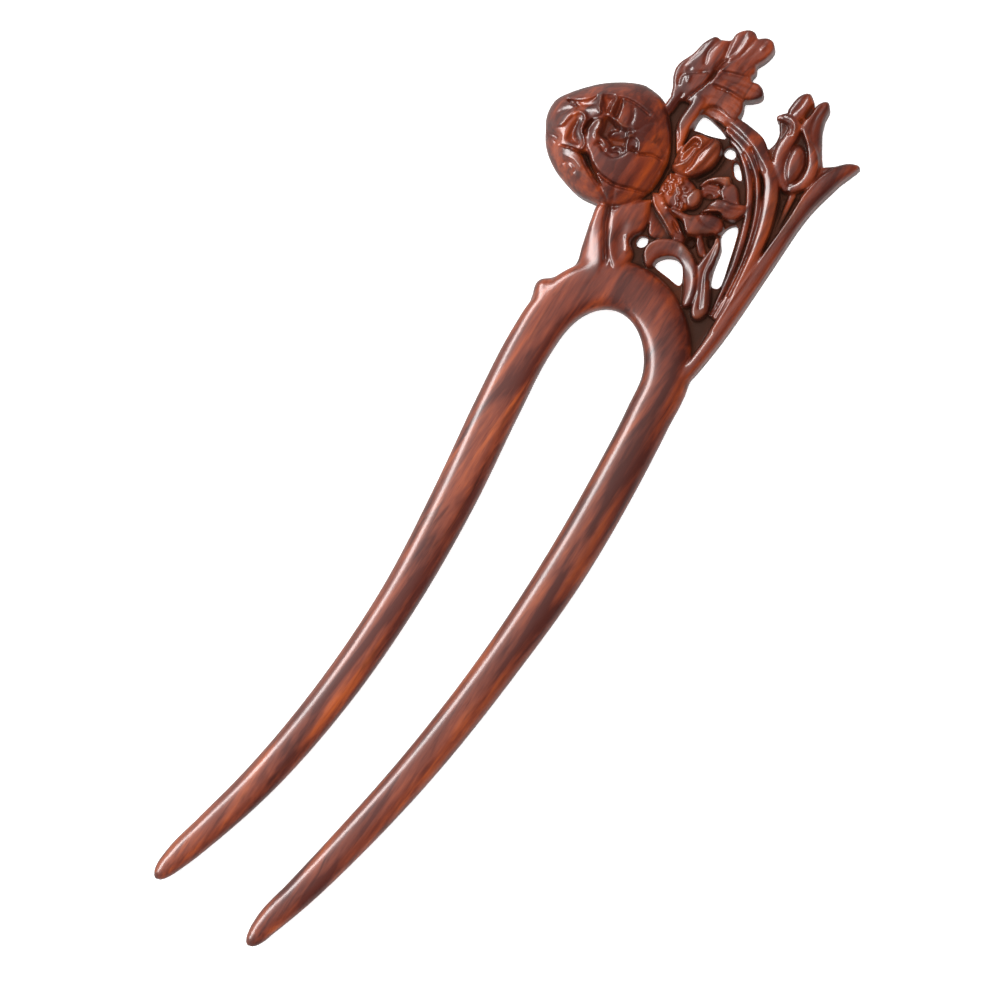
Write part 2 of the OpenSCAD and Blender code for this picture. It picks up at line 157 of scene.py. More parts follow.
def placed(form, points, columns):
    # A form's own table in millimetres: its first two columns are places, and where there
    # are four the third is a width. Missing columns are nought
    p = np.zeros((len(points), columns))
    p[:, :len(points[0])] = points
    p[:, :2] = np.array(form["at"]) + form["unit"] * p[:, :2]
    if columns == 4:
        p[:, 2] *= form["unit"]
    return p


def petal(form, edge, bulge=0.8, lip=0.45):
    # A leaf of wood inside an edge of (across, along, height): its height is carried in from
    # the edge, swells by the bulge as the soft depth grows, and turns down at the edge by a
    # quarter round
    loop = smooth(placed(form, edge, 3), closed=True)
    at, x, y = cornerOf(loop, margins["petal"])
    deep, carried, soft = insideOf(x, y, loop)
    within = deep > 0
    share = np.minimum(soft / soft[within].max(), 1)
    turned = 1 - np.minimum(np.maximum(deep, 0) / lip, 1)
    z = carried + bulge * (1 - (1 - share)**2) - lip * (1 - np.sqrt(1 - turned**2))
    height[at] = np.where(within, np.maximum(height[at], z), height[at])
    inward[at] = np.maximum(inward[at], deep)


def levelPetal(form, edge, top, bulge=0.8, lip=0.45):
    # A petal whose edge of (across, along) lies level, all of it at one height
    petal(form, np.c_[edge, np.full(len(edge), top)], bulge, lip)


def kept(form, _):
    # Keeps the height so far as the dome that the form's next petals are measured from
    form["dome"] = height.copy()


def lift(form, edge, lip=0.4):
    # A petal inside an edge of (across, along, how far over the dome): carried in from the
    # edge, and turned down at it by a quarter round to the dome or by the lip
    loop = smooth(placed(form, edge, 3), closed=True)
    at, x, y = cornerOf(loop, margins["lift"])
    deep, carried, soft = insideOf(x, y, loop)
    turned = 1 - np.minimum(np.maximum(deep, 0) / lip, 1)
    drop = np.clip(carried, 0, lip) * (1 - np.sqrt(1 - turned**2))
    height[at] = np.where(deep > 0, form["dome"][at] + carried - drop, height[at])


def strap(form, way, crown=0.75, ridge=0):
    # A band along (across, along, width, height). Its sides fall by the crown times half the
    # width: over half an ellipse, or straight down from a ridge, or a share of each
    path = smooth(placed(form, way, 4))
    at, x, y = cornerOf(path, margins["strap"])
    d2, value = nearestOn(x, y, path)
    half = value[..., 0] / 2
    share = np.minimum(d2 / half**2, 1)
    fall = (1 - ridge) * (1 - np.sqrt(1 - share)) + ridge * np.sqrt(share)
    z = value[..., 1] - crown * half * fall
    height[at] = np.where(share < 1, np.maximum(height[at], z), height[at])
    inward[at] = np.maximum(inward[at], half - np.sqrt(d2))


def crease(form, way, rise, width, beyond=0.3):
    # A ridge, or where the rise is negative a groove: a bell curve across the way, on the
    # wood and a little beyond its outline
    path = smooth(placed(form, way, 2))
    at, x, y = cornerOf(path, margins["crease"])
    d2, _ = nearestOn(x, y, path)
    height[at] += np.where(inward[at] > -beyond, rise * np.exp(-d2 / (width / 2)**2), 0)


def hollow(form, edge, floor, wall=0.5):
    # A sunk place inside an edge: its sides fall smoothly to the floor over the wall's width
    loop = smooth(placed(form, edge, 3), closed=True)
    at, x, y = cornerOf(loop, margins["hollow"])
    t = np.clip(insideOf(x, y, loop)[0] / wall, 0, 1)
    height[at] += (np.minimum(height[at], floor) - height[at]) * t * t * (3 - 2 * t)


def beads(form, places, radius, top):
    # Small round heads, each the upper half of a ball whose top is at this height
    for centre in placed(form, places, 3):
        at, x, y = cornerOf(centre[None, :], radius + sheet["step"])
        share = ((x - centre[0])**2 + (y - centre[1])**2) / radius**2
        ball = top - radius + radius * np.sqrt(np.maximum(1 - share, 0))
        height[at] = np.where(share < 1, np.maximum(height[at], ball), height[at])


def opening(form, edge):
    # A hole right through: the outline is cut back to its edge
    loop = smooth(placed(form, edge, 3), closed=True)
    at, x, y = cornerOf(loop, margins["opening"])
    inward[at] = np.minimum(inward[at], -insideOf(x, y, loop)[0])


def carve(form):
    # Every cut of a form's table in its order: the kind of cut, its points, its settings
    for cut, points, *settings in form["cuts"]:
        cut(form, points, *settings)
    print("carved", form["name"])


# The crest's forms. Places are in each form's own small unit, from where the form sits, and
# heights, bulges and walls are in millimetres
crest = {"at": (0, 0), "unit": 0.5}

ground = {
    "name": "ground", **crest,
    "cuts": [
        (levelPetal, [(-21, 2), (-24, 14), (-26, 24), (-31, 40), (-34, 54), (-29, 62), (-25, 71),
            (-14, 76.5), (-5, 76), (3, 72.5), (9, 69), (12, 74), (21, 72), (27, 76), (30, 72), (30, 40),
            (30, 6), (28, -4), (22, 2), (10, 10), (0, 13), (-12, 8)], 3, 0, 0.3),
    ]}

stem = {
    "name": "stem and knob", **crest,
    "cuts": [
        (petal, [(-28, 26, 4.9), (-27.2, 20, 4.8), (-26.2, 16, 4.3), (-24.9, 11, 3.6),
            (-23.6, 7.4, 3.5), (-22.8, 4, 3.6), (-23, 1.2, 3.8), (-24.3, -1.2, 3.9), (-27, -3.4, 3.9),
            (-29.3, -5, 3.9), (-30.4, -7, 3.8), (-30.2, -9, 3.7), (-29.2, -11.4, 3.6),
            (-27.6, -14, 3.4), (-23, -14, 4.2), (-19, -8, 4.6), (-16, -2, 4.8), (-13.6, 4, 5.1),
            (-12.4, 9.6, 5.2), (-14.4, 15, 5.3), (-18, 20, 5.3), (-20.6, 24.4, 5.2),
            (-22.6, 28, 5)], 0.5, 0.9),
        (crease, [(-28.2, -8), (-27.6, -10.4)], 0.6, 3.2),
        (crease, [(-24.2, 26.4), (-22.2, 22), (-20.3, 18.7), (-18, 15.4), (-15.8, 12.5), (-14.4, 10.2),
            (-13.6, 7.6)], -1.2, 0.8),
    ]}

sprig = {
    "name": "leaf under the bloom", **crest,
    "cuts": [
        # low petal between it and the blossom
        (petal, [(-14.1, 34.3, 3.6), (-12.1, 32.1, 3.9), (-10.2, 29.5, 4.1), (-8.9, 27.2, 4.1),
            (-6.6, 26.4, 4), (-3.9, 27.7, 3.5), (-1.1, 29.5, 3.2), (-2.3, 31.9, 3.1), (-5.5, 32.9, 3.1),
            (-9.3, 34.2, 3.3), (-12.4, 35.5, 3.4)], 0.3, 0.35),
        (petal, [(-14, 37, 4.6), (-18, 34, 4.7), (-21.6, 30, 4.8), (-23.4, 26.6, 4.9),
            (-22.2, 23.6, 5.1), (-20.5, 20.9, 5.3), (-19.3, 18.4, 5.5), (-17.4, 15.8, 5.7),
            (-15.2, 13.5, 5.7), (-13.2, 11.8, 5.6), (-10.6, 10.2, 5.3), (-8.8, 12, 4.9),
            (-8.3, 15, 4.6), (-8.2, 17.4, 4.6), (-9.4, 19.2, 4.9), (-11.4, 20.6, 5.1), (-12, 22.2, 5.1),
            (-11.6, 24, 5), (-10.4, 26.4, 4.8), (-10.5, 29.2, 4.6), (-11.6, 32.4, 4.5),
            (-13, 35, 4.5)], 0.45, 0.8),
        (crease, [(-16.6, 24), (-15.2, 20.4), (-14, 17.4), (-12.6, 14.8)], -0.35, 2),
        (crease, [(-13.2, 21.6), (-11.8, 19.9), (-10.8, 18.2)], 0.35, 0.8),
    ]}

bloom = {
    "name": "large bloom", "at": (-18.5, 22.5), "unit": 0.215,
    "cuts": [
        # the dome that the petals lie on
        (levelPetal, [(-54, 0), (-52, 8), (-44, 20), (-32.5, 33), (-20, 43), (-5, 51), (6, 52),
            (18, 49.5), (31, 39), (41, 26), (47.5, 13), (50, 0), (50, -12), (46, -24), (39, -35),
            (29, -42), (16, -46), (2, -47.5), (-13, -44.5), (-26, -40), (-38.5, -31), (-46, -21),
            (-52, -11)], 5, 3.2, 0.8),
        (kept, []),
        # outer petal over the top, and the line under its lip
        (lift, [(-50, 9, 0), (-43, 20, 0), (-33, 33, 0), (-20, 43, 0), (-5, 51, 0), (6, 52, 0),
            (18, 49.5, 0), (31, 38, 0.1), (24, 33.5, 0.2), (12, 34, 0.35), (2, 34.5, 0.5),
            (-6, 33, 0.6), (-12, 31, 0.6), (-18, 28.5, 0.6), (-23, 24.5, 0.6), (-26, 20, 0.5),
            (-30, 15, 0.4), (-36, 11, 0.3), (-42, 9, 0.15)]),
        (crease, [(-43, 8), (-41, 8.8), (-36, 10.3), (-30, 14), (-26, 19), (-24.3, 22.5)], -1.1, 0.5),
        # small petal turned up at the left, and the slot under it
        (lift, [(-38, 9, -0.3), (-33, 12.5, -0.3), (-27.5, 18, -0.3), (-24.5, 22.5, 0.3),
            (-22.5, 25, 0.6), (-20, 21, 0.7), (-17.5, 16, 0.7), (-14.5, 13.5, 0.5), (-14, 11, 0.3),
            (-18, 7.5, 0.2), (-25, 6.5, 0), (-32, 6, -0.2)], 0.3),
        (crease, [(-33, 10.5), (-27, 13.5), (-22, 17.5)], -0.35, 0.9),
        (hollow, [(-42, 8), (-37, 9.3), (-33, 9), (-32, 7.4), (-36, 6.8), (-41, 6.6)], 5.8, 0.3),
        # pocket, and the thin petal that stands at its right
        (hollow, [(-21.5, 25.5), (-17, 28), (-12.5, 30), (-11.8, 26), (-11.5, 20), (-10, 15.5),
            (-13, 14.5), (-15.5, 16), (-18, 20)], 6.9, 0.6),
        (hollow, [(-9.5, 31), (-6.5, 31.2), (-4, 25), (-2.2, 18), (-4, 15.8), (-6.4, 17),
            (-8, 24)], 6.9, 0.35),
        (crease, [(-24.5, 22.5), (-22.5, 25), (-20.3, 21), (-17.8, 16), (-15, 13.6)], 0.5, 0.4),
        (crease, [(-12.4, 30), (-10.6, 28.5), (-9.9, 23), (-8.3, 17)], 0.9, 0.4),
        # two petals that stand round the heart
        (lift, [(-6, 31.7, 0.6), (-3.2, 25, 0.8), (-1.5, 18, 0.8), (-1, 14.5, 0.9), (2, 13.6, 0.9),
            (5, 13, 0.8), (9, 14, 0.7), (12, 16, 0.8), (15, 16.5, 0.8), (18, 19, 0.5), (20, 24, 0.2),
            (22, 29, 0.1), (18, 32, 0.1), (10, 33, 0.3), (2, 33.2, 0.4)]),
        (crease, [(-6, 32.7), (0, 33.8), (8, 33.8), (16, 32.8)], -0.35, 0.45),
        (crease, [(4, 30), (8, 24), (9.5, 18)], -0.3, 0.7),
        (lift, [(16, 17, 0.6), (15.3, 13.5, 0.9), (13.3, 10.5, 0.9), (15, 8.5, 0.8), (17.5, 11, 0.7),
            (20.5, 11, 0.7), (23.5, 9.5, 0.9), (25.5, 5.5, 1), (27, 2.5, 0.9), (31, 5.5, 0.5),
            (36, 9, 0.3), (43, 10, 0.2), (47.5, 12, 0), (41, 24, 0), (35, 30, 0), (28, 31, 0.1),
            (22, 29, 0.2), (19, 24, 0.4), (17.5, 20, 0.5)]),
        (crease, [(18, 14), (25, 17), (33, 18), (41, 17)], -0.25, 1),
        # crescent from the hook at the heart's left round to the right-hand edge
        (lift, [(-15.5, -2, 0.5), (-15.5, 4, 0.7), (-13.5, 8, 0.8), (-11, 8.5, 0.9), (-9, 5, 0.8),
            (-8.3, -1, 0.6), (-6, -5, 0.6), (-1, -9, 0.6), (6, -11, 0.6), (12, -11, 0.6), (17, -7, 0.7),
            (19.5, -2, 0.9), (21.5, 1, 0.9), (27, 2, 0.8), (32, 4.6, 0.4), (37, 8, 0.3), (44, 9, 0.1),
            (49.5, 8, 0), (50, -2, 0), (50, -12, 0), (48, -17, 0), (38, -21, 0.1), (25, -26, 0.3),
            (10, -26, 0.4), (3, -23.5, 0.5), (-3, -18.5, 0.5), (-8, -15.5, 0.5), (-12, -11, 0.5),
            (-14.5, -7, 0.5)]),
        (crease, [(27, 2), (31, 5), (36, 8.6), (43, 9.6)], -0.6, 0.45),
        (hollow, [(20, 1.5), (19.5, 4.5), (22, 6), (24, 5.2), (24.8, 3), (23, 1)], 7.2, 0.35),
        # the heart, with what curls up in it
        (hollow, [(-12, 12.5), (-8, 14.8), (-2, 14.3), (0, 13.2), (5, 12.4), (9, 13), (12, 12.4),
            (12.5, 9.5), (14.5, 6), (16.5, 2), (18.5, -1), (16.5, -5.5), (12, -9.5), (8, -9), (6, -5),
            (2, -2.5), (-2, -2.5), (-5, -2.5), (-7.8, -1), (-8.7, 4), (-10.5, 9)], 6.3, 0.6),
        (lift, [(-1, 3, -1.5), (2, 8, -1.3), (6, 11, -1.2), (10, 11.5, -1.3), (12, 8.5, -1.3),
            (10, 5, -1.4), (5, 3, -1.4), (2, 1, -1.5)], 0.2),
        (crease, [(2, 5.5), (6, 8.5), (10, 9.5)], 0.6, 1.2),
        (lift, [(8, -9, 0), (6.2, -5, -0.3), (8.5, -1.5, -0.6), (13, 1, -0.6), (16.5, 0, -0.5),
            (18, -3, -0.2), (15, -7, 0.1), (11.5, -9.5, 0.2)], 0.2),
        (crease, [(9, -3), (12, -1), (15.5, -1.5)], 0.5, 0.5),
        (crease, [(9.5, -7), (12.5, -4.5), (15.5, -5)], -0.5, 0.5),
        (crease, [(-7, -3.5), (-4, -5.5), (-1.5, -4), (2, -5.5), (5, -8)], 0.5, 0.6),
        (crease, [(-4, -9.5), (-2.5, -6)], -0.5, 0.5),
        (crease, [(3.5, -10.5), (4.5, -7)], -0.4, 0.5),
        # thin lips round the heart
        (crease, [(-6.5, 31.5), (-4.5, 27.5), (-3.2, 24), (-2.2, 19), (-1.2, 15), (1, 13.8), (5, 13.2),
            (9, 14.1), (12, 15.6), (15.3, 16), (15.4, 14), (13.5, 11.5), (13.4, 9.6), (15, 8), (16, 4),
            (19.2, -1)], 0.35, 0.4),
        (crease, [(17.5, 11), (20.5, 11), (23, 9.6), (25, 6.5), (26, 4), (27.4, 2)], 0.35, 0.4),
        (crease, [(-15.2, -4), (-15.7, 2), (-14.8, 6), (-12.6, 8.3), (-10.4, 7.6), (-9.1, 4.5),
            (-8.8, 0), (-7, -4)], 0.35, 0.45),
        # left-hand petal with its rolled rim, and the gap at its right
        (hollow, [(-30, -1), (-26.5, 1.5), (-23.5, -2), (-21.5, -8.5), (-17, -12), (-13.5, -15.5),
            (-16, -19), (-23, -20.5), (-28, -19), (-30.5, -10)], 6.6, 1.4),
        (hollow, [(-19.5, 4.5), (-16.8, 6), (-16.2, 0), (-16.6, -5), (-14.2, -8.3), (-17.5, -7.8),
            (-19.3, -3)], 6.2, 0.35),
        (crease, [(-31.5, 1), (-30, 4), (-27, 5.2), (-24, 4.6), (-21.8, 2), (-21, -2), (-19.4, -6.5),
            (-15.5, -9.5), (-12.5, -12.5), (-10.7, -16), (-11.5, -19)], 0.8, 0.5),
        # lobe at the left edge, and the hollow under it
        (lift, [(-52, 0, 0), (-50, 6.5, 0), (-42, 7.2, 0.2), (-36, 6.5, 0.3), (-32.5, 5, 0.5),
            (-32, 0, 0.6), (-33, -6, 0.6), (-34, -11, 0.6), (-38, -14, 0.5), (-43, -15.5, 0.1),
            (-50, -11, 0)]),
        (hollow, [(-56, -15), (-44, -16.5), (-36, -15.6), (-31, -17), (-28.5, -22), (-31, -26.5),
            (-36.5, -26), (-46, -27), (-56, -24)], 4.9, 2.2),
        (crease, [(-43, -3), (-39, 1), (-36, 3)], -0.25, 0.9),
        # the deep fold, and the lower petals beyond it
        (hollow, [(-30, -25.3), (-24, -22.6), (-18, -20.8), (-12, -19.6), (-8, -18), (-4, -19),
            (1, -23), (8, -26.8), (16, -30.3), (22, -34.3), (23.5, -37), (16, -34.3), (8, -31.2),
            (0, -27.3), (-6, -23.8), (-11, -22.4), (-17, -22.4), (-24, -24.8)], 5.6, 0.35),
        (lift, [(-31, -28.5, 0.1), (-28.5, -26.3, 0.5), (-24, -24.6, 0.7), (-17, -22.9, 0.8),
            (-10, -23.3, 0.9), (-4, -27, 0.9), (4, -31.2, 0.8), (12, -34.3, 0.6), (22, -38, 0.4),
            (28, -42, 0), (16, -46, 0), (2, -47.5, 0), (-13, -44.5, 0), (-26, -40, 0)]),
        (crease, [(-17, -34), (-14, -31.5), (-9, -32), (-6, -35)], -0.3, 0.6),
        (crease, [(-22, -30), (-12, -28.5), (-4, -31)], 0.25, 0.8),
        (lift, [(9, -28, 0.2), (16, -28.3, 0.3), (26, -28, 0.3), (36, -24, 0.2), (46, -19.5, 0),
            (46, -24, 0), (39, -35, 0), (29, -42, 0), (25, -38, 0.3), (16, -32.5, 0.3)]),
        (crease, [(3, -23.5), (6, -25.5), (11, -26.7), (25, -26.8), (38, -21.8),
            (48, -17.5)], -0.9, 0.45),
        (crease, [(27, -30), (30, -37)], -0.3, 0.6),
    ]}

leaf = {
    "name": "lobed leaf", "at": (-13, 31), "unit": 0.2,
    "cuts": [
        # the whole leaf with its scalloped edge
        (levelPetal, [(-6.5, 18), (-9.5, 25), (-14, 32), (-16.5, 40), (-15.5, 47), (-13, 53),
            (-11, 58.5), (-10, 65), (-9, 70), (-7, 75), (-3.5, 79.8), (2, 80.3), (6.5, 82.5), (8.8, 85),
            (9.2, 90.5), (12.2, 96), (16.5, 99.7), (21, 100.7), (24.3, 99.2), (26.7, 97.4), (29, 99.4),
            (33, 102.2), (38.3, 102.6), (42.3, 99.3), (43.3, 94), (41.8, 86.7), (39.3, 81),
            (38.5, 78.2), (40, 76), (41.2, 73), (40.5, 69), (41.6, 66.4), (44, 65.2), (50, 66.2),
            (55.8, 63.3), (57.2, 58.5), (53.8, 53.6), (49.8, 50.3), (47.2, 48.4), (47.8, 46), (50, 42),
            (51, 37), (51, 31.5), (46, 29.8), (38, 31), (31, 31), (25.5, 28), (22.5, 22), (14, 22),
            (8, 21), (2, 19), (-2.5, 17.5)], 5, 0.5, 0.35),
        (kept, []),
        # lobes at the right, the upper over the lower
        (lift, [(16, 44, 0.4), (20, 45.5, 0.5), (27, 47, 0.5), (33, 48, 0.5), (40, 48.6, 0.4),
            (47.2, 48.4, 0.2), (49.8, 50.3, 0), (53.8, 53.6, 0), (57.2, 58.5, 0), (55.8, 63.3, 0),
            (50, 66.2, 0), (44, 65.2, 0), (38, 64, 0), (30, 61, 0), (22, 58, 0), (17, 54, 0.2)], 0.3),
        (lift, [(17, 58, 0.4), (22, 60, 0.5), (30, 63, 0.5), (38, 66, 0.3), (40.5, 69, 0),
            (41.2, 73, 0), (40, 76, 0), (38.5, 78.2, 0), (39.3, 81, 0), (41.8, 86.7, 0), (43.3, 94, 0),
            (42.3, 99.3, 0), (38.3, 102.6, 0), (33, 102.2, 0), (29, 99.4, 0), (26.7, 97.4, 0),
            (25, 86, 0), (22, 76, 0.1), (18, 68, 0.2)], 0.3),
        (crease, [(18, 57.3), (22, 59), (30, 62), (38, 65)], -0.2, 0.4),
        (crease, [(21, 44.6), (25, 45.2), (28, 46.6), (31, 46.2), (34, 47.6), (38, 47),
            (45, 47.4)], -0.5, 0.4),
        (lift, [(-7, 37, 0.3), (-3, 41, 0.4), (3, 46, 0.4), (8, 50, 0.4), (12, 49, 0.3),
            (12.5, 45, 0.3), (11, 38, 0.2), (8, 31, 0.2), (3, 27, 0), (-3, 27, 0)], 0.3),
        (crease, [(-8, 37), (-4, 42), (1, 45), (5, 49), (9, 50.6)], -0.2, 0.5),
        # veins
        (crease, [(21, 94), (22, 86), (21.3, 77), (18, 70)], 0.2, 0.5),
        (crease, [(26, 95), (25, 86), (23.3, 76), (19, 67), (16, 61)], -0.22, 0.4),
        (crease, [(16, 96), (17, 87), (17.5, 77), (15, 69)], -0.12, 0.5),
        (crease, [(9.5, 85), (11.3, 77), (12.8, 70), (13, 65)], -0.4, 0.6),
        (crease, [(1, 79.5), (-0.5, 72), (-1, 64), (2, 56)], -0.3, 0.6),
        (crease, [(5, 80), (5, 70), (6, 60)], 0.12, 0.8),
        (crease, [(-6.5, 74), (-6.5, 64), (-9.5, 54), (-11, 45), (-8, 38)], -0.12, 0.6),
        (crease, [(34, 98), (33, 90), (30.5, 80), (26, 71)], -0.15, 0.6),
        (crease, [(36.5, 96), (35.5, 92)], 0.25, 0.7),
        (crease, [(53, 61.5), (44, 60), (33, 57), (22, 53)], -0.15, 0.6),
        (crease, [(47, 54), (38, 53.5), (28, 51)], -0.12, 0.5),
        (crease, [(48, 37), (38, 38), (28, 36.5), (20, 32)], -0.18, 0.7),
        (crease, [(46, 42.5), (36, 43), (26, 41)], -0.12, 0.6),
        (crease, [(12, 40), (16, 50), (18, 58)], 0.15, 0.9),
        # small nicks of the gouge
        (crease, [(-7, 44), (-5, 45.5)], -0.3, 0.5),
        (crease, [(-1.5, 39), (-0.5, 36)], 0.3, 0.6),
        (crease, [(4, 47.5), (6, 48.5)], -0.3, 0.4),
        (crease, [(-8.5, 36), (-8, 33), (-6.5, 30)], -0.3, 0.5),
        # pockets
        (hollow, [(10.5, 57), (11.5, 66), (14.5, 69.5), (17.5, 68.5), (16, 62), (15.5, 56)], 4.5, 0.5),
        (hollow, [(30, 67.5), (30.5, 71), (33, 73), (34.5, 71), (33.5, 67.5)], 5.4, 0.5),
        (hollow, [(11, 57), (15, 56), (16, 50), (14.5, 45), (13, 38), (10, 30), (8, 22), (9, 14),
            (9, 4), (4, 4), (3, 12), (2.5, 18), (5, 24), (8, 32), (11, 40), (11.5, 48)], 3.6, 0.5),
        # stalks down to the blossom and the bloom
        (strap, [(16, 27, 12, 5.6), (16.5, 18, 12, 5.6), (16.5, 10, 12.5, 5.6), (17, 3, 12, 5.5),
            (19.5, -4, 10, 5.3), (22.5, -11, 7, 5), (26, -18.5, 4, 4.6)], 0.45),
        (crease, [(11, 22), (10.8, 14), (10.8, 6), (12.5, 0), (17, -5), (20, -10)], -0.35, 0.5),
        (strap, [(-1.5, 24, 9, 5.2), (-2, 15, 8.5, 5.2), (-2, 7, 8, 5), (-1.5, 0, 6, 4.6)], 0.5),
        (crease, [(1.5, 24), (0.5, 14), (0.5, 4)], -0.3, 0.5),
    ]}

blossom = {
    "name": "small blossom", "at": (-4, 21.5), "unit": 0.16,
    "cuts": [
        # bed under the stamens
        (levelPetal, [(-20, 12), (-10, 19), (4, 20), (14, 16), (18, 8), (18, -8), (10, -14), (-6, -15),
            (-18, -9)], 4.4, 0.5),
        # upper left petal, scooped at its left
        (levelPetal, [(-23, 26), (-24, 35), (-24, 43), (-22.5, 50), (-21.5, 58), (-19, 63), (-14, 66.5),
            (-8, 67.5), (-4, 68.5), (0, 70.5), (4, 71), (8.5, 69), (12.5, 64), (15.5, 57), (16, 50),
            (15, 43), (12, 36), (8, 28.5), (3, 23), (-4, 20), (-12, 18), (-18, 18),
            (-22, 21)], 5, 1.2, 0.5),
        (kept, []),
        (hollow, [(-19, 41), (-19.3, 50), (-17, 57.5), (-12, 58.5), (-8, 56), (-9, 51), (-13, 50),
            (-15, 45), (-17, 39.5)], 4.6, 0.35),
        (crease, [(-20.5, 37), (-21, 46), (-20, 54), (-17.5, 59.5), (-12, 60.8), (-7.5, 58),
            (-5.5, 52)], 0.45, 0.4),
        (crease, [(-12.5, 50), (-14.6, 44), (-17, 37)], 0.45, 0.4),
        (crease, [(-20.5, 21), (-14, 25.5), (-9.5, 32.5), (-8, 40), (-8, 47)], 0.4, 0.6),
        (crease, [(-19, 27), (-13, 32), (-11, 40), (-11, 47)], -0.4, 0.5),
        (crease, [(-1, 67), (-1.5, 60), (-3.5, 53), (-5, 45), (-4.5, 34), (-6, 25)], -0.7, 0.6),
        (crease, [(5, 64), (4.5, 54), (3.5, 42), (1, 30)], 0.25, 0.7),
        (crease, [(9.5, 62), (9.5, 52), (8, 42), (5, 32)], -0.25, 0.6),
        # three petals at the upper right
        (petal, [(14, 20, 4.4), (16, 28, 4.6), (20, 34.5, 4.8), (26, 39.5, 5), (32, 43.5, 5.2),
            (36, 45.5, 5.2), (40, 42, 5.2), (41.5, 37, 5.2), (38, 34, 5), (32, 33.5, 5),
            (26, 31.5, 4.8), (21, 28, 4.6), (18, 22, 4.4)], 0.4, 0.3),
        (petal, [(36, 35, 5), (39.5, 39.5, 5), (44, 41.5, 5), (49, 40, 5), (53, 36, 5), (57.5, 30.5, 5),
            (60.5, 27, 4.8), (55, 23.5, 4.8), (48, 22, 5), (42, 22, 5), (38, 25, 5),
            (35.5, 30, 5)], 0.1, 0.25),
        (levelPetal, [(17, 21), (20, 26.5), (26, 30.5), (32, 32), (36, 28), (38, 21), (33, 16),
            (26, 13), (20, 14)], 4.2, 0.1),
        (crease, [(20, 21), (26, 24), (33, 26)], -0.3, 0.6),
        (crease, [(35.2, 31), (37, 25), (39, 21.5), (43, 23.5)], 0.35, 0.35),
        (crease, [(24, 36), (31, 39.5), (37, 41)], 0.2, 0.5),
        # two petals at the right
        (petal, [(31, -3, 5), (33.5, 4, 5), (34, 11, 5), (37, 17, 5.2), (41, 20.5, 5.2), (46, 22, 5.3),
            (51, 22.6, 5.4), (57, 25, 5.2), (63, 28.8, 5), (68, 29.6, 4.8), (71, 27, 4.6),
            (70.6, 21, 4.8), (68.5, 14.5, 5), (65, 9, 5.2), (60, 6.5, 5.2), (54, 5.5, 5.4),
            (49, 8, 5.8), (43, 5, 5.9), (37, 1, 5.9)], 0.3, 0.35),
        (crease, [(31, -3), (37, 1.4), (43, 5.4), (49, 8.6)], 0.4, 0.45),
        (crease, [(39, 10), (47, 14), (56, 16), (65, 22)], -0.2, 0.7),
        (crease, [(66, 25.5), (58, 21), (50, 19)], 0.15, 0.6),
        (petal, [(2, -16, 5), (10, -13.5, 5.2), (18, -12, 5.3), (26, -9.5, 5.4), (31, -5, 5.4),
            (36, -1.5, 5.2), (43, 2.8, 5), (50, 4.4, 4.9), (56, 3, 4.8), (60.5, -2, 4.6), (61, -8, 4.6),
            (58.5, -13, 4.8), (53.5, -17, 4.9), (47, -20.5, 4.9), (42, -24.5, 4.9), (38.5, -28.3, 4.8),
            (34, -29.4, 4.8), (28.5, -27.5, 4.9), (24.5, -23, 5), (20, -20.2, 5.2), (12, -20, 5.1),
            (5, -19, 5)], 0.5, 0.35),
        (crease, [(30, -5.5), (38, -9), (46, -9.5), (55, -8)], -0.25, 0.8),
        (crease, [(24, -21), (29, -25), (35, -27.5)], 0.3, 0.5),
        (crease, [(6, -17.5), (16, -16), (26, -14)], 0.2, 0.5),
        # lowest petal
        (petal, [(-22, -12.5, 4.6), (-16, -9.5, 5), (-9, -11.5, 5.2), (-1, -15, 5.3), (4, -19, 5.2),
            (12, -21, 5.1), (18, -23.5, 5), (23, -27, 4.9), (30, -31, 4.7), (36.5, -36, 4.4),
            (35, -41, 4.2), (27, -42, 4.5), (20, -40, 4.9), (12, -36, 5.2), (4, -32, 5.3),
            (-5, -28, 5.3), (-12.5, -24, 5.2), (-18.5, -18.5, 5)], 0.4, 0.35),
        (crease, [(-21, -14), (-14, -21), (-6, -25.5), (4, -29.8), (13, -34.5),
            (20, -38.5)], 0.4, 0.45),
        (hollow, [(12, -25), (18, -26), (24, -29), (28, -32), (24, -34.5), (17, -32)], 4.2, 0.4),
        # bulb beside the stamens, and the dark gaps round it
        (levelPetal, [(9.5, 5), (11, 13), (16, 17.5), (22, 15), (25.5, 9), (26, 2), (23, -4), (17, -6),
            (11.5, -2)], 5, 0.8, 0.5),
        (crease, [(10.2, 14), (9.8, 7), (12, 1)], 0.25, 0.35),
        (crease, [(17, 60), (17.5, 48), (14.5, 37), (8, 26)], -1, 0.8),
        (hollow, [(27, 3), (27.5, 10), (25, 16), (28, 20), (33, 20), (33.5, 12), (32, 4),
            (30, -1)], 3.6, 0.4),
        (crease, [(-20, 30), (-22, 22), (-24, 14), (-22, 5), (-23, -5)], -0.8, 0.8),
        (beads, [(-16, 13), (-14, 9.5), (-4.5, 15), (-2, 12), (-9.5, 4.5), (-7, 1.5), (-6, -3), (0, 5),
            (3, 2), (3, -2.5), (5.5, -5), (9, 3), (-10, 10), (-4, 8), (-15, 2), (-13, -8.5),
            (-9, -12.5), (11, -5), (13, -9), (8, -9.5), (5, 9), (-12, -2)], 0.33, 5.5),
        (beads, [(-5, -16), (1, -18)], 0.3, 5.9),
    ]}

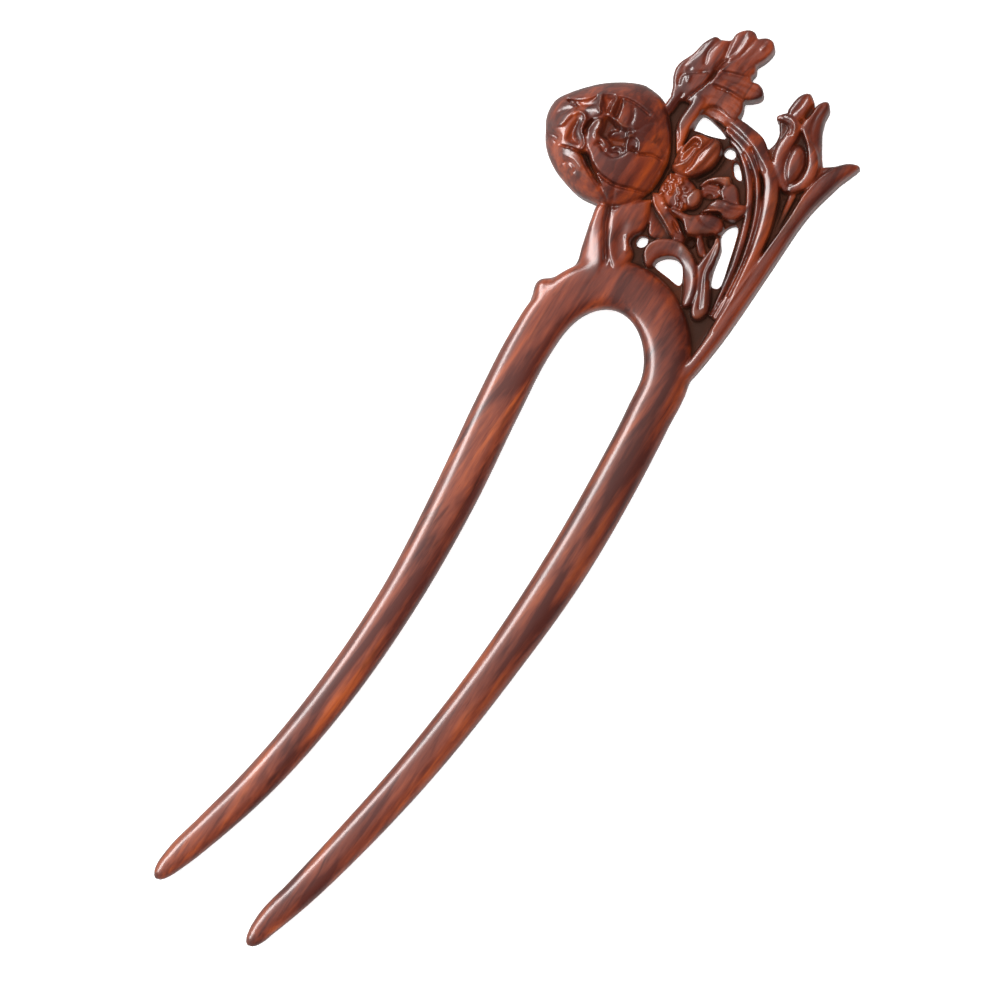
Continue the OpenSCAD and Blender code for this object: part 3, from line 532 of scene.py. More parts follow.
blades = {
    "name": "long blades", **crest,
    "cuts": [
        (strap, [(-16, 71.8, 3.6, 4), (-12.5, 72.8, 4.2, 4.3), (-9, 73, 4.4, 4.6), (-4, 73, 5, 4.9),
            (0, 72, 6.8, 5.2), (4, 70.6, 8, 5.4), (8, 68.6, 6.4, 5.6), (11.5, 66.9, 5.2, 5.8),
            (14.8, 64.6, 4.8, 5.9), (17.5, 61.3, 5.2, 6), (19.4, 57.6, 5.4, 6), (21, 53.6, 5.4, 6),
            (22.5, 49.6, 5.2, 6), (23.7, 45.4, 4.8, 5.9), (24.8, 41.1, 4.4, 5.8), (25.6, 36.6, 4, 5.8),
            (26.4, 31.1, 3.4, 5.7), (27, 25.4, 2.9, 5.6), (27.6, 19.9, 2.5, 5.4), (28, 11, 2, 5.2),
            (28.4, 3, 1.8, 4.8)], 0.42, 0.85),
        (strap, [(-6, 70.2, 2.4, 4.4), (0, 69, 2.6, 4.8), (4, 67.2, 2.6, 5.1), (7.6, 65, 2.4, 5.3),
            (10.8, 62.4, 2.4, 5.4), (13.4, 59.4, 2.4, 5.5), (15.8, 56, 2.4, 5.5),
            (17.8, 52.3, 2.3, 5.5), (19.5, 48.3, 2.2, 5.5), (21, 44.2, 2.1, 5.4), (22.3, 40, 2, 5.4),
            (23.5, 35, 1.9, 5.3), (24.4, 29.8, 1.8, 5.2), (25.2, 24, 1.7, 5.1),
            (26, 16, 1.6, 4.9)], 0.44, 0.8),
        (strap, [(-3, 68, 2, 4), (1, 66.8, 2.2, 4.4), (5.2, 64, 2.4, 4.7), (8.5, 60.9, 2.5, 4.9),
            (11.3, 57.5, 2.5, 5), (13.6, 54, 2.5, 5), (15.6, 50.3, 2.5, 5), (17.3, 46.4, 2.5, 4.9),
            (18.8, 42.4, 2.5, 4.8), (20.1, 38.3, 2.4, 4.8), (21.5, 33.2, 2.2, 4.7),
            (22.6, 27.8, 2, 4.6), (23.6, 22, 1.8, 4.4), (24.4, 16, 1.5, 4.2)], 0.48, 0.7),
        # lines between the blades, and the hollow along the broad top of the outer one
        (crease, [(3.9, 69.2), (7.5, 66.6), (11.1, 63.9), (14.1, 60.6), (16.5, 57), (18.6, 53.1),
            (20.3, 49), (21.7, 44.8), (22.9, 40.6), (24.1, 35.3), (25, 29.9), (25.8, 24.4)], -0.7, 0.4),
        (crease, [(3, 66.6), (6.6, 64.4), (10, 61.8), (12.5, 58.6), (14.8, 55.2), (16.8, 51.6),
            (18.6, 47.6), (20.1, 43.6), (21.4, 39.4), (22.7, 34.6), (23.6, 29.2),
            (24.5, 22)], -0.6, 0.4),
        (crease, [(-7, 71.5), (-1, 70.6), (4, 69.2), (8, 67.2), (11.5, 65.2)], -0.4, 0.9),
    ]}

bud = {
    "name": "bud", **crest,
    "cuts": [
        (levelPetal, [(7.5, 86), (6, 84), (6.6, 81.6), (8.7, 78.5), (9.2, 75), (8.6, 70), (13, 67),
            (18, 64), (22, 63), (26, 67), (28, 74), (26.5, 77.2), (21, 85), (18, 91.5), (14, 92),
            (10, 92)], 4, 0),
        (petal, [(13.3, 84, 5.2), (13, 88, 5), (13.4, 91.3, 5), (14.3, 94.6, 5), (16.2, 96.3, 4.8),
            (18, 94.6, 4.6), (18.5, 91.2, 4.6), (19.6, 88, 4.5), (21.9, 84.3, 4.4), (24.4, 80.6, 4.3),
            (26.9, 77.4, 4.2), (27.6, 74, 4.2), (25, 76.5, 5.2), (22, 78.5, 5.8), (18.5, 80.5, 6.2),
            (15.5, 82.5, 6)], 0.5, 0.35),
        (crease, [(15.8, 94), (16, 89), (17.5, 84.5), (20.5, 81)], -0.25, 0.6),
        (petal, [(7, 86, 4.8), (6.6, 89, 4.8), (7, 92.3, 4.8), (8.3, 94.6, 4.8), (10, 95.3, 4.8),
            (11.8, 94.2, 4.8), (13, 93, 4.8), (13.3, 90, 4.8), (12.8, 87, 4.8),
            (10.5, 85.5, 5)], 0.6, 0.4),
        (crease, [(9.5, 94), (9.7, 90), (9, 86.5)], -0.25, 0.5),
        (hollow, [(12.4, 92.6), (13.8, 92.6), (14.2, 89.5), (13.4, 87), (12.2, 88.6)], 3.8, 0.3),
        (levelPetal, [(15.2, 78.4), (17.8, 79.4), (20.8, 77.6), (22.8, 73.6), (23, 69), (21.6, 65.8),
            (18.8, 66.4), (16.4, 69.6), (15, 74)], 4.2, 2, 0.7),
        (strap, [(5.8, 83, 2, 4.8), (8, 84.4, 3.4, 5.2), (10.8, 84.2, 4, 5.6), (12.6, 82, 4, 6),
            (12.9, 79, 4.4, 6), (12.9, 75.5, 4.6, 5.9), (13.6, 72, 4.4, 5.8), (15.4, 68.8, 4, 5.6),
            (18, 66.2, 3.4, 5.4), (21, 64.6, 2.6, 5)], 0.5, 0.3),
        (crease, [(7, 84.2), (9.6, 84.6), (12, 83.4), (13.6, 80.4)], 0.3, 0.5),
        (crease, [(9, 82.6), (11, 82.4), (12, 80)], -0.3, 0.4),
        (strap, [(19.5, 80.8, 2.4, 6), (22.2, 78.6, 3.4, 6), (24.4, 75.5, 4, 5.9), (25.3, 72, 4, 5.8),
            (24.8, 68.5, 3.6, 5.6), (22.8, 65.5, 2.8, 5.2)], 0.5, 0.3),
        # sunk place between the outer blade and the branch, with the bud's stalk in it
        (hollow, [(19.7, 63.5), (22.1, 62.2), (25, 64), (27.1, 65), (27.7, 60), (27.8, 54), (27.7, 48),
            (27.2, 42.5), (26, 46.6), (24.8, 52), (22.4, 58)], 2.4, 0.5),
        (strap, [(24, 64, 2.6, 4), (25, 58, 2, 3.5), (26.2, 51, 1.6, 3.1), (27, 44, 1.2, 3)], 0.5),
    ]}

branch = {
    "name": "branch", **crest,
    "cuts": [
        (strap, [(27.4, -14, 3, 4), (28.4, -7, 4, 4.7), (29.2, 0, 4.4, 5.3), (29.8, 12, 4.8, 5.6),
            (29.8, 22, 5, 5.6), (29.7, 32, 5, 5.6), (29.5, 44, 5, 5.6), (29.3, 54, 5, 5.6),
            (29.2, 61, 5.6, 5.6), (29.6, 66.5, 6.2, 5.6), (30.6, 72, 6.4, 5.5), (32, 77, 5.8, 5.3),
            (34.2, 81, 4.4, 5), (36.2, 83.4, 2.2, 4.5), (37, 84, 0.8, 4)], 0.8),
        (petal, [(27, 66, 4.4), (26.6, 72, 4.4), (26.4, 76, 4.4), (28.4, 78.4, 4.4), (31, 79.5, 4.4),
            (31, 72, 5), (30, 66, 5)], 0, 0.3),
        (crease, [(28, 12), (27.9, 22), (27.8, 40), (27.6, 56), (27.6, 65), (28.4, 73),
            (31, 79.5)], 0.3, 0.5),
    ]}

spray = {
    "name": "curl and club-shaped leaf", **crest,
    "cuts": [
        # bridge up to the blossom, between two dark pits
        (strap, [(4, 37.2, 3.2, 4.2), (6.3, 34.8, 2.8, 4.1), (8, 33.3, 2.8, 4),
            (10, 31.4, 3, 3.9)], 0.5),
        (petal, [(-2.6, 17.2, 4.8), (-4.9, 18.9, 5.1), (-6.5, 21.6, 5.3), (-6.2, 24.7, 5.5),
            (-3.9, 27.7, 5.6), (0, 29.9, 5.6), (4.3, 30.4, 5.6), (8.8, 28.7, 5.6), (12, 26.1, 5.6),
            (14.6, 22.5, 5.6), (16.5, 18.4, 5.4), (17.2, 15.2, 5.2), (16.2, 13.2, 5), (14.6, 13.2, 4.8),
            (13.4, 15, 4.6), (11.9, 17.8, 4.4), (9.6, 20.7, 4.2), (7.2, 22.5, 4.2), (3.9, 23.4, 4.2),
            (0.9, 22.6, 4.2), (-0.7, 20.6, 4.3), (-1.1, 18.4, 4.5)], 0.4, 0.6),
        (crease, [(-4.4, 21.4), (-4, 24.6), (-1.4, 27.2), (2.4, 28.4)], -0.25, 1.6),
        (levelPetal, [(11.2, 26.5), (11.3, 30), (11.8, 34), (11, 37), (11.8, 38.8), (14, 38.4),
            (15.7, 36), (16.3, 33), (16.3, 29), (16.8, 26.5), (18.3, 24.5), (20.3, 22), (22.4, 18.5),
            (23.3, 15.5), (22.4, 12.6), (20.5, 11.5), (18.5, 12.7), (17.1, 15.5), (16.3, 18.5),
            (15.1, 21), (13.7, 23.3), (12.1, 25)], 5, 0.5, 0.35),
        (crease, [(12.5, 37), (13.5, 31), (14.6, 26), (17, 21), (20, 15.5)], -0.3, 0.5),
        (crease, [(15, 36), (15, 30), (15.6, 26), (18.6, 21.5), (21.6, 16.5)], 0.25, 0.5),
    ]}

openings = {
    "name": "openings", **crest,
    "cuts": [
        (opening, [(-16.4, 70.2), (-10, 69.8), (-6, 68.4), (-6, 67.4), (-8.4, 66.4), (-11.4, 65.4),
            (-14.4, 64.8), (-16.4, 64.6)]),
        (opening, [(-3.4, 63.4), (-3.2, 65.8), (-1.2, 66.3), (0.6, 64.8), (0.2, 63.2), (-1.6, 62.8)]),
        (opening, [(1.4, 62.6), (2.4, 63.3), (3.8, 62.3), (5.6, 60.7), (6.8, 59.2), (6, 58.6),
            (4.2, 59), (2.8, 60.3), (1.8, 61.6)]),
        (opening, [(11.6, 40.4), (12, 43.4), (13.8, 45.6), (15.4, 44.6), (16.6, 41.6), (17.9, 37.6),
            (19.2, 33.4), (20.5, 29.2), (21.2, 25.8), (20.2, 24.2), (18.2, 24.6), (16.5, 28.2),
            (15.5, 32), (14.6, 35.8), (12.8, 38.2)]),
        (opening, [(-1.1, 19.4), (-1.1, 21.4), (0.9, 23.9), (3.9, 25.2), (6.9, 24.3), (8.9, 21.9),
            (9.9, 19.2), (8.9, 18.2), (5, 18.6), (1, 18.8)]),
        (opening, [(-10.8, 22.9), (-10.4, 25), (-8.2, 25.8), (-7.2, 23.8), (-8.2, 21.8), (-9.9, 21.7)]),
        (hollow, [(3, 30.5), (3, 34), (6, 34.5), (6.5, 31)], 1.2),
        (hollow, [(8, 37), (10, 39), (12, 36), (11, 34), (9, 35)], 1.2),
    ]}

for form in (ground, stem, sprig, bloom, leaf, blades, branch, bud, blossom, spray, openings):
    carve(form)


# The arch and prongs are one round limb: a superellipse carried along a middle line, with
# the sizes of the solid that it stands for and nearly its shares. The shares of a row are of
# the length down, the bow, the spacing, the width and the thickness, then the back's lift
limb = {
    "length": 122.0, "spacing": 24.0, "bow": 6.0, "width": 7.6, "thickness": 5.6,
    "archWidth": 8.5, "archDrop": 10.0, "power": 2.3, "squarer": 0.9, "squarerDownTo": 0.3,
    "shares": [(0.10, 0.24, 0.98, 1.00, 1.00, 0.00), (0.20, 0.50, 0.98, 1.00, 1.00, 0.00),
               (0.33, 0.82, 0.925, 0.98, 0.98, 0.00), (0.49, 1.00, 0.84, 0.87, 0.92, 0.00),
               (0.66, 0.90, 0.785, 0.82, 0.86, 0.02), (0.82, 0.50, 0.765, 0.74, 0.78, 0.06),
               (0.90, 0.18, 0.78, 0.66, 0.70, 0.10), (0.965, -0.12, 0.79, 0.52, 0.55, 0.16),
               (0.985, -0.18, 0.80, 0.39, 0.43, 0.20), (0.995, -0.21, 0.80, 0.24, 0.28, 0.26),
               (0.9985, -0.22, 0.80, 0.13, 0.15, 0.32), (1.00, -0.22, 0.80, 0.03, 0.04, 0.38)]}


def prongRows(side):
    # Across, along, width, low, high and power of one prong's middle line, from the arch
    # down. The left-hand one is squarer at its top
    down, bow, spacing, width, thick, lift = np.array(limb["shares"]).T
    squarer = limb["squarer"] * np.clip(1 - down / limb["squarerDownTo"], 0, 1)
    power = limb["power"] + (side < 0) * squarer
    return np.c_[limb["bow"] * bow + side * limb["spacing"] * spacing / 2,
                 -limb["length"] * down, limb["width"] * width,
                 limb["thickness"] * lift, limb["thickness"] * (lift + thick), power]


def archRows(count=15):
    # Half an ellipse over the gap, which widens from the prongs' width to its own at the top
    turn = np.pi * np.arange(1, count + 1) / (count + 1)
    top = limb["archDrop"] + limb["archWidth"] / 2
    bow, spacing = limb["shares"][0][1:3]
    across = limb["spacing"] * spacing / 2
    return np.c_[limb["bow"] * bow * (1 - np.sin(turn)) - across * np.cos(turn),
                 top * np.sin(turn) - limb["archDrop"],
                 limb["width"] + (limb["archWidth"] - limb["width"]) * np.sin(turn),
                 0 * turn, 0 * turn + limb["thickness"],
                 limb["power"] + limb["squarer"] * (1 + np.cos(turn)) / 2]


# The last of the arch's rows is left out, for an easier bend into the right-hand prong
limbWay = smooth(np.concatenate([prongRows(-1)[::-1], archRows()[:-1], prongRows(1)]),
                 steps=8, uneven=True)
print("limb laid out along", len(limbWay), "rows")


def softened(values, width):
    # Gaussian blur over the whole grid, as a product with a bell curve in frequencies
    fx = np.fft.rfftfreq(values.shape[1], sheet["step"])
    fy = np.fft.fftfreq(values.shape[0], sheet["step"])[:, None]
    bell = np.exp(-2 * (np.pi * width)**2 * (fx**2 + fy**2))
    return np.fft.irfft2(np.fft.rfft2(values) * bell, values.shape)


# Rounds of the carved edges, of the back's edge and where the crest meets the limb; blur of
# the grids, and the reaches over which the height is carried past the outline
edges = {"front": 0.45, "back": 0.8, "fillet": 0.7, "blur": 0.1, "reaches": (0.2, 0.5, 1.5),
         "leastNear": 0.02}

# Outside the outline the height goes on as the mean of what is near, so that walls end well
wood = (inward > 0).astype(float)
face = np.where(wood > 0, height, 0)
for reach in edges["reaches"]:
    near = softened(wood, reach)
    spread = softened(face, reach) / np.maximum(near, 1e-6)
    face = np.where(wood > 0, face, spread * (near > edges["leastNear"]))
    wood = np.maximum(wood, near > edges["leastNear"])
height = softened(face, edges["blur"]).astype(np.float32)
inward = softened(inward, edges["blur"]).astype(np.float32)


def lookedUp(values, x, y, outside):
    # Value of a grid at any place: the mean of its four corners, weighted by nearness. Below
    # the grid's bottom it is the value that stands for outside
    u = (x - mapX[0]) / sheet["step"]
    v = (y - mapY[0]) / sheet["step"]
    i = np.clip(np.floor(u).astype(int), 0, len(mapX) - 2)
    j = np.clip(np.floor(v).astype(int), 0, len(mapY) - 2)
    s, t = np.clip(u - i, 0, 1), np.clip(v - j, 0, 1)
    mean = ((1 - t) * ((1 - s) * values[j, i] + s * values[j, i + 1])
            + t * ((1 - s) * values[j + 1, i] + s * values[j + 1, i + 1]))
    return np.where(v < 0, outside, mean)


def rounded(a, b, radius):
    # The lesser of two depths, with a round of this radius where they meet
    bend = np.hypot(np.maximum(radius - a, 0), np.maximum(radius - b, 0))
    return np.maximum(radius, np.minimum(a, b)) - bend


def filleted(a, b, radius):
    # The greater of two depths, with a hollow curve where they are nearly equal
    return np.maximum(a, b) + np.maximum(radius - np.abs(a - b), 0)**2 / (4 * radius)


def columns(x, y):
    # What the wood's depth needs at each place seen from above: height and outline of the
    # crest, and distance, half width, middle, half thickness and power of the limb
    d2, rows = nearestOn(x, y, limbWay)
    return (lookedUp(height, x, y, 0), lookedUp(inward, x, y, nothing["inward"]), d2,
            rows[..., 0] / 2, (rows[..., 2] + rows[..., 1]) / 2,
            (rows[..., 2] - rows[..., 1]) / 2, rows[..., 3])


def depth(column, z):
    # How deep a place lies in the wood, more or less, and less than nought outside it
    top, outline, d2, half, middle, thick, power = column
    crestDepth = rounded(rounded(top - z, outline, edges["front"]), z, edges["back"])
    out = ((d2 / half**2)**(power / 2) + np.abs((z - middle) / thick)**power)**(1 / power)
    limbDepth = np.minimum(half, thick) * (1 - out)
    return filleted(crestDepth, limbDepth, edges["fillet"])


def netOf(values, axes):
    # Surface net of the zero level: one point in each cell that the surface passes through,
    # the mean of its crossings of the cell's edges, and one four-sided face across each grid
    # edge whose two ends lie on different sides
    solid = values > 0
    size = np.array(values.shape) - 1
    corners = [(i, j, k) for i in (0, 1) for j in (0, 1) for k in (0, 1)]
    count = sum(solid[i:size[0] + i, j:size[1] + j, k:size[2] + k].astype(np.int8)
                for i, j, k in corners)
    cells = np.argwhere((count > 0) & (count < 8))
    number = np.full(size, -1, np.int32)
    number[tuple(cells.T)] = np.arange(len(cells))
    total, found = np.zeros((len(cells), 3)), np.zeros((len(cells), 1))
    for start in corners:
        for axis in range(3):
            if start[axis] == 0:
                a = cells + start
                b = a.copy()
                b[:, axis] += 1
                fa, fb = values[tuple(a.T)], values[tuple(b.T)]
                cut = ((fa > 0) != (fb > 0))[:, None]
                pa = np.stack([axes[n][a[:, n]] for n in range(3)], 1)
                pb = np.stack([axes[n][b[:, n]] for n in range(3)], 1)
                t = (fa / np.where(fa == fb, 1, fa - fb))[:, None]
                total += np.where(cut, pa + t * (pb - pa), 0)
                found += cut
    faces = []
    for axis in range(3):
        one, two = np.eye(3, dtype=int)[[(axis + 1) % 3, (axis + 2) % 3]]
        first = np.moveaxis(solid, axis, 0)
        edge = np.argwhere(np.moveaxis(first[:-1] != first[1:], 0, axis))
        quad = np.stack([number[tuple((edge - shift).T)]
                         for shift in (0 * one, one, one + two, two)], 1)
        out = solid[tuple(edge.T)]
        faces.append(np.where(out[:, None], quad, quad[:, ::-1]))
    return total / found, np.concatenate(faces)


def drawnOnto(points, step=0.05, turns=3, leastSlope=0.2, farthest=0.15):
    # Moves points onto the surface: each turn goes down the slope of the depth, measured over
    # a small step, by the depth over the slope, but no farther than a short way
    for _ in range(turns):
        x, y, z = points.T
        here = columns(x, y)
        value = depth(here, z)
        slope = np.stack([depth(columns(x + step, y), z) - value,
                          depth(columns(x, y + step), z) - value,
                          depth(here, z + step) - value], 1) / step
        move = value[:, None] * slope / np.maximum((slope**2).sum(1), leastSlope)[:, None]
        far = np.linalg.norm(move, axis=1, keepdims=True)
        points = points - move * np.minimum(1, farthest / np.maximum(far, 1e-9))
    return points


# The net's cells are small over the crest and the tips, and long down the prongs. Its levels
# miss the flat back at nought, and it ends a little inside the grids of the crest
net = {"left": -30.4, "right": 20.9, "tips": -122.6, "overTips": -118.0, "top": 52.7,
       "lowest": -0.61, "highest": 10.4, "step": 0.22, "stepDownProng": 0.9, "stepUp": 0.24}
axes = (np.arange(net["left"], net["right"], net["step"]),
        np.concatenate([np.arange(net["tips"], net["overTips"], net["step"]),
                        np.arange(net["overTips"], sheet["bottom"], net["stepDownProng"]),
                        np.arange(sheet["bottom"], net["top"], net["step"])]),
        np.arange(net["lowest"], net["highest"], net["stepUp"]))
seenFromAbove = columns(*np.meshgrid(axes[0], axes[1], indexing="ij"))
values = np.stack([depth(seenFromAbove, z) for z in axes[2]], 2)
points, faces = netOf(values, axes)
points = drawnOnto(points)
print("surface net:", len(points), "points,", len(faces), "faces")


def meshOf(name, points, faces):
    # A mesh from arrays of points in millimetres and of four-sided faces
    mesh = bpy.data.meshes.new(name)
    mesh.vertices.add(len(points))
    mesh.loops.add(faces.size)
    mesh.polygons.add(len(faces))
    mesh.vertices.foreach_set("co", (np.asarray(points) * mm + np.array(origin)).ravel())
    mesh.loops.foreach_set("vertex_index", faces.ravel())
    mesh.polygons.foreach_set("loop_start", np.arange(len(faces)) * 4)
    mesh.polygons.foreach_set("use_smooth", np.ones(len(faces), bool))
    mesh.update(calc_edges=True)
    mesh.validate()
    piece = bpy.data.objects.new(name, mesh)
    bpy.context.scene.collection.objects.link(piece)
    return piece


fork = meshOf("carved_fork", points, faces)

# Where the painted shade in the cuts and the lighter lips are laid: reach of the mean height, the
# flowers' general level, how far inside the outline it begins, and how far over the grid's bottom
cutShadeAndLips = {"reach": 1.3, "level": 4.3, "wall": 0.3, "leastShare": 0.05, "overBottom": 1}


def reliefAt(points):
    # How far each point's place stands over the mean of the front round it, less what it lies under the
    # flowers' general level: for the painted shade in the cuts and the lighter brown on the lips
    x, y = np.meshgrid(mapX, mapY)
    top, outline, d2, half, middle, thick, power = columns(x, y)
    dome = np.maximum(1 - (d2 / half**2)**(power / 2), 0)**(1 / power)
    top = np.maximum(np.where(outline > 0, top, 0),
                     np.where(dome > 0, middle + thick * dome, 0))
    here = (top > 0).astype(float)
    share = np.maximum(softened(here, cutShadeAndLips["reach"]), cutShadeAndLips["leastShare"])
    mean = softened(top, cutShadeAndLips["reach"]) / share
    found = np.maximum(lookedUp(top, points[:, 0], points[:, 1], 0), points[:, 2])
    relief = found - lookedUp(mean, points[:, 0], points[:, 1], 0)
    relief -= np.maximum(cutShadeAndLips["level"] - found, 0)
    # nought on the outer walls, and down the prongs
    inside = np.maximum(outline, half - np.sqrt(d2))
    inside = lookedUp(inside, points[:, 0], points[:, 1], 0) / cutShadeAndLips["wall"]
    onCrest = points[:, 1] > mapY[0] + cutShadeAndLips["overBottom"]
    return np.where(onCrest, relief * np.clip(inside, 0, 1), 0)


fork.data.attributes.new("relief", "FLOAT", "POINT").data.foreach_set(
    "value", reliefAt(points).astype(np.float32))

# The back, the walls and the undersides are thinned out, as they are plain and seen less: the
# share of faces kept, and how far up a point may look to be among them
thinning = {"share": 0.5, "upTo": 0.25}
facing = np.empty(len(points) * 3)
fork.data.vertex_normals.foreach_get("vector", facing)
plain = fork.vertex_groups.new(name="plain")
plain.add(np.flatnonzero(facing[2::3] < thinning["upTo"]).tolist(), 1, "REPLACE")
thinned = fork.modifiers.new("thinned", "DECIMATE")
thinned.ratio = thinning["share"]
thinned.vertex_group = plain.name
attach(fork, "root")
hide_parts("fork")


def linear(colour):
    # sRGB hex to linear: the standard curve on each of its three parts
    parts = [int(colour[i:i + 2], 16) / 255 for i in (0, 2, 4)]
    return [p / 12.92 if p <= 0.04045 else ((p + 0.055) / 1.055)**2.4 for p in parts] + [1]


def addNode(tree, kind, settings, inputs):
    # Adds a node with its settings; an input is given a value, or the socket that feeds it
    node = tree.nodes.new(kind)
    for name, value in settings.items():
        setattr(node, name, value)
    for name, value in inputs.items():
        if isinstance(value, bpy.types.NodeSocket):
            tree.links.new(value, node.inputs[name])
        else:
            node.inputs[name].default_value = value
    return node


# Lacquered rosewood, carved and polished. Rosewood is orange brown to dark red brown with dark streaks
# that run with the grain and fine open pores; the clear lacquer over it gives sharp white lights. Shade
# is painted into the cuts as a dark brown, and the lacquer's shine is taken away there
rosewood = {
    "figure": [(0.49, "4e2018"), (0.61, "773521"), (0.76, "a24c21")],
    "warm": "efcfb0", "shade": "b4a6a4", "streak": "32110a",
    # noises: size across and along the grain in millimetres, seed, detail, roughness, bend
    "noises": {
        "cloud": (3.4, 30.0, 1.3, 4.0, 0.6, 0.4), "fine": (0.9, 8.0, 6.4, 2.0, 0.5, 0.0),
        "warp": (4.0, 26.0, 8.3, 3.0, 0.5, 0.0), "strength": (1.6, 14.0, 5.9, 2.0, 0.5, 0.0),
        "pores": (0.16, 2.4, 1.3, 1.0, 0.5, 0.0)},
    "seedWay": (1.0, 1.7, 0.6), "fineShare": 0.2,
    # steps: way, where along it in millimetres it starts and ends, share before and after
    "steps": [((0, 1, 0), 5, 40, 0, 0.75), ((1, 0.3, 0), -2, 28, 0, 0.6),
              ((-0.5, 1, 0), 78, 84, 1, 0.2)],
    # year rings: their heart's distance in millimetres and turn, and their spacing
    "ringHeart": (18, 0, 13), "ringTurn": (0.03, 0, 0.02), "ringStretch": 0.04,
    "ringSpacing": 2.3, "ringWarp": 5.0,
    "streakWidth": 0.2, "streakFrom": 0.42, "streakTo": 0.68, "streakShare": 0.7,
    # what lies over the wood: colour, where it starts and is full, greatest share, kind of
    # step. The pores follow their noise, the others the relief in millimetres
    "layers": {"pores": ("32110a", 0.58, 0.8, 0.45, "LINEAR"),
               # painted shade: dark brown laid into the cuts and onto the low ground by the relief,
               # where shade falls
               "paintedShade": ("31211a", -0.25, -2.0, 0.85, "SMOOTHSTEP"),
               # a lighter brown on the lips, where the relief stands over its surroundings
               "lighterLips": ("a5592f", 0.5, 1.8, 0.35, "LINEAR")},
    "roughness": 0.5, "lacquerRoughness": 0.23, "lacquerIor": 1.5, "lacquerLost": 1.1,
    "shine": 0.3, "poreStrength": 0.12, "poreDepth": 0.05}


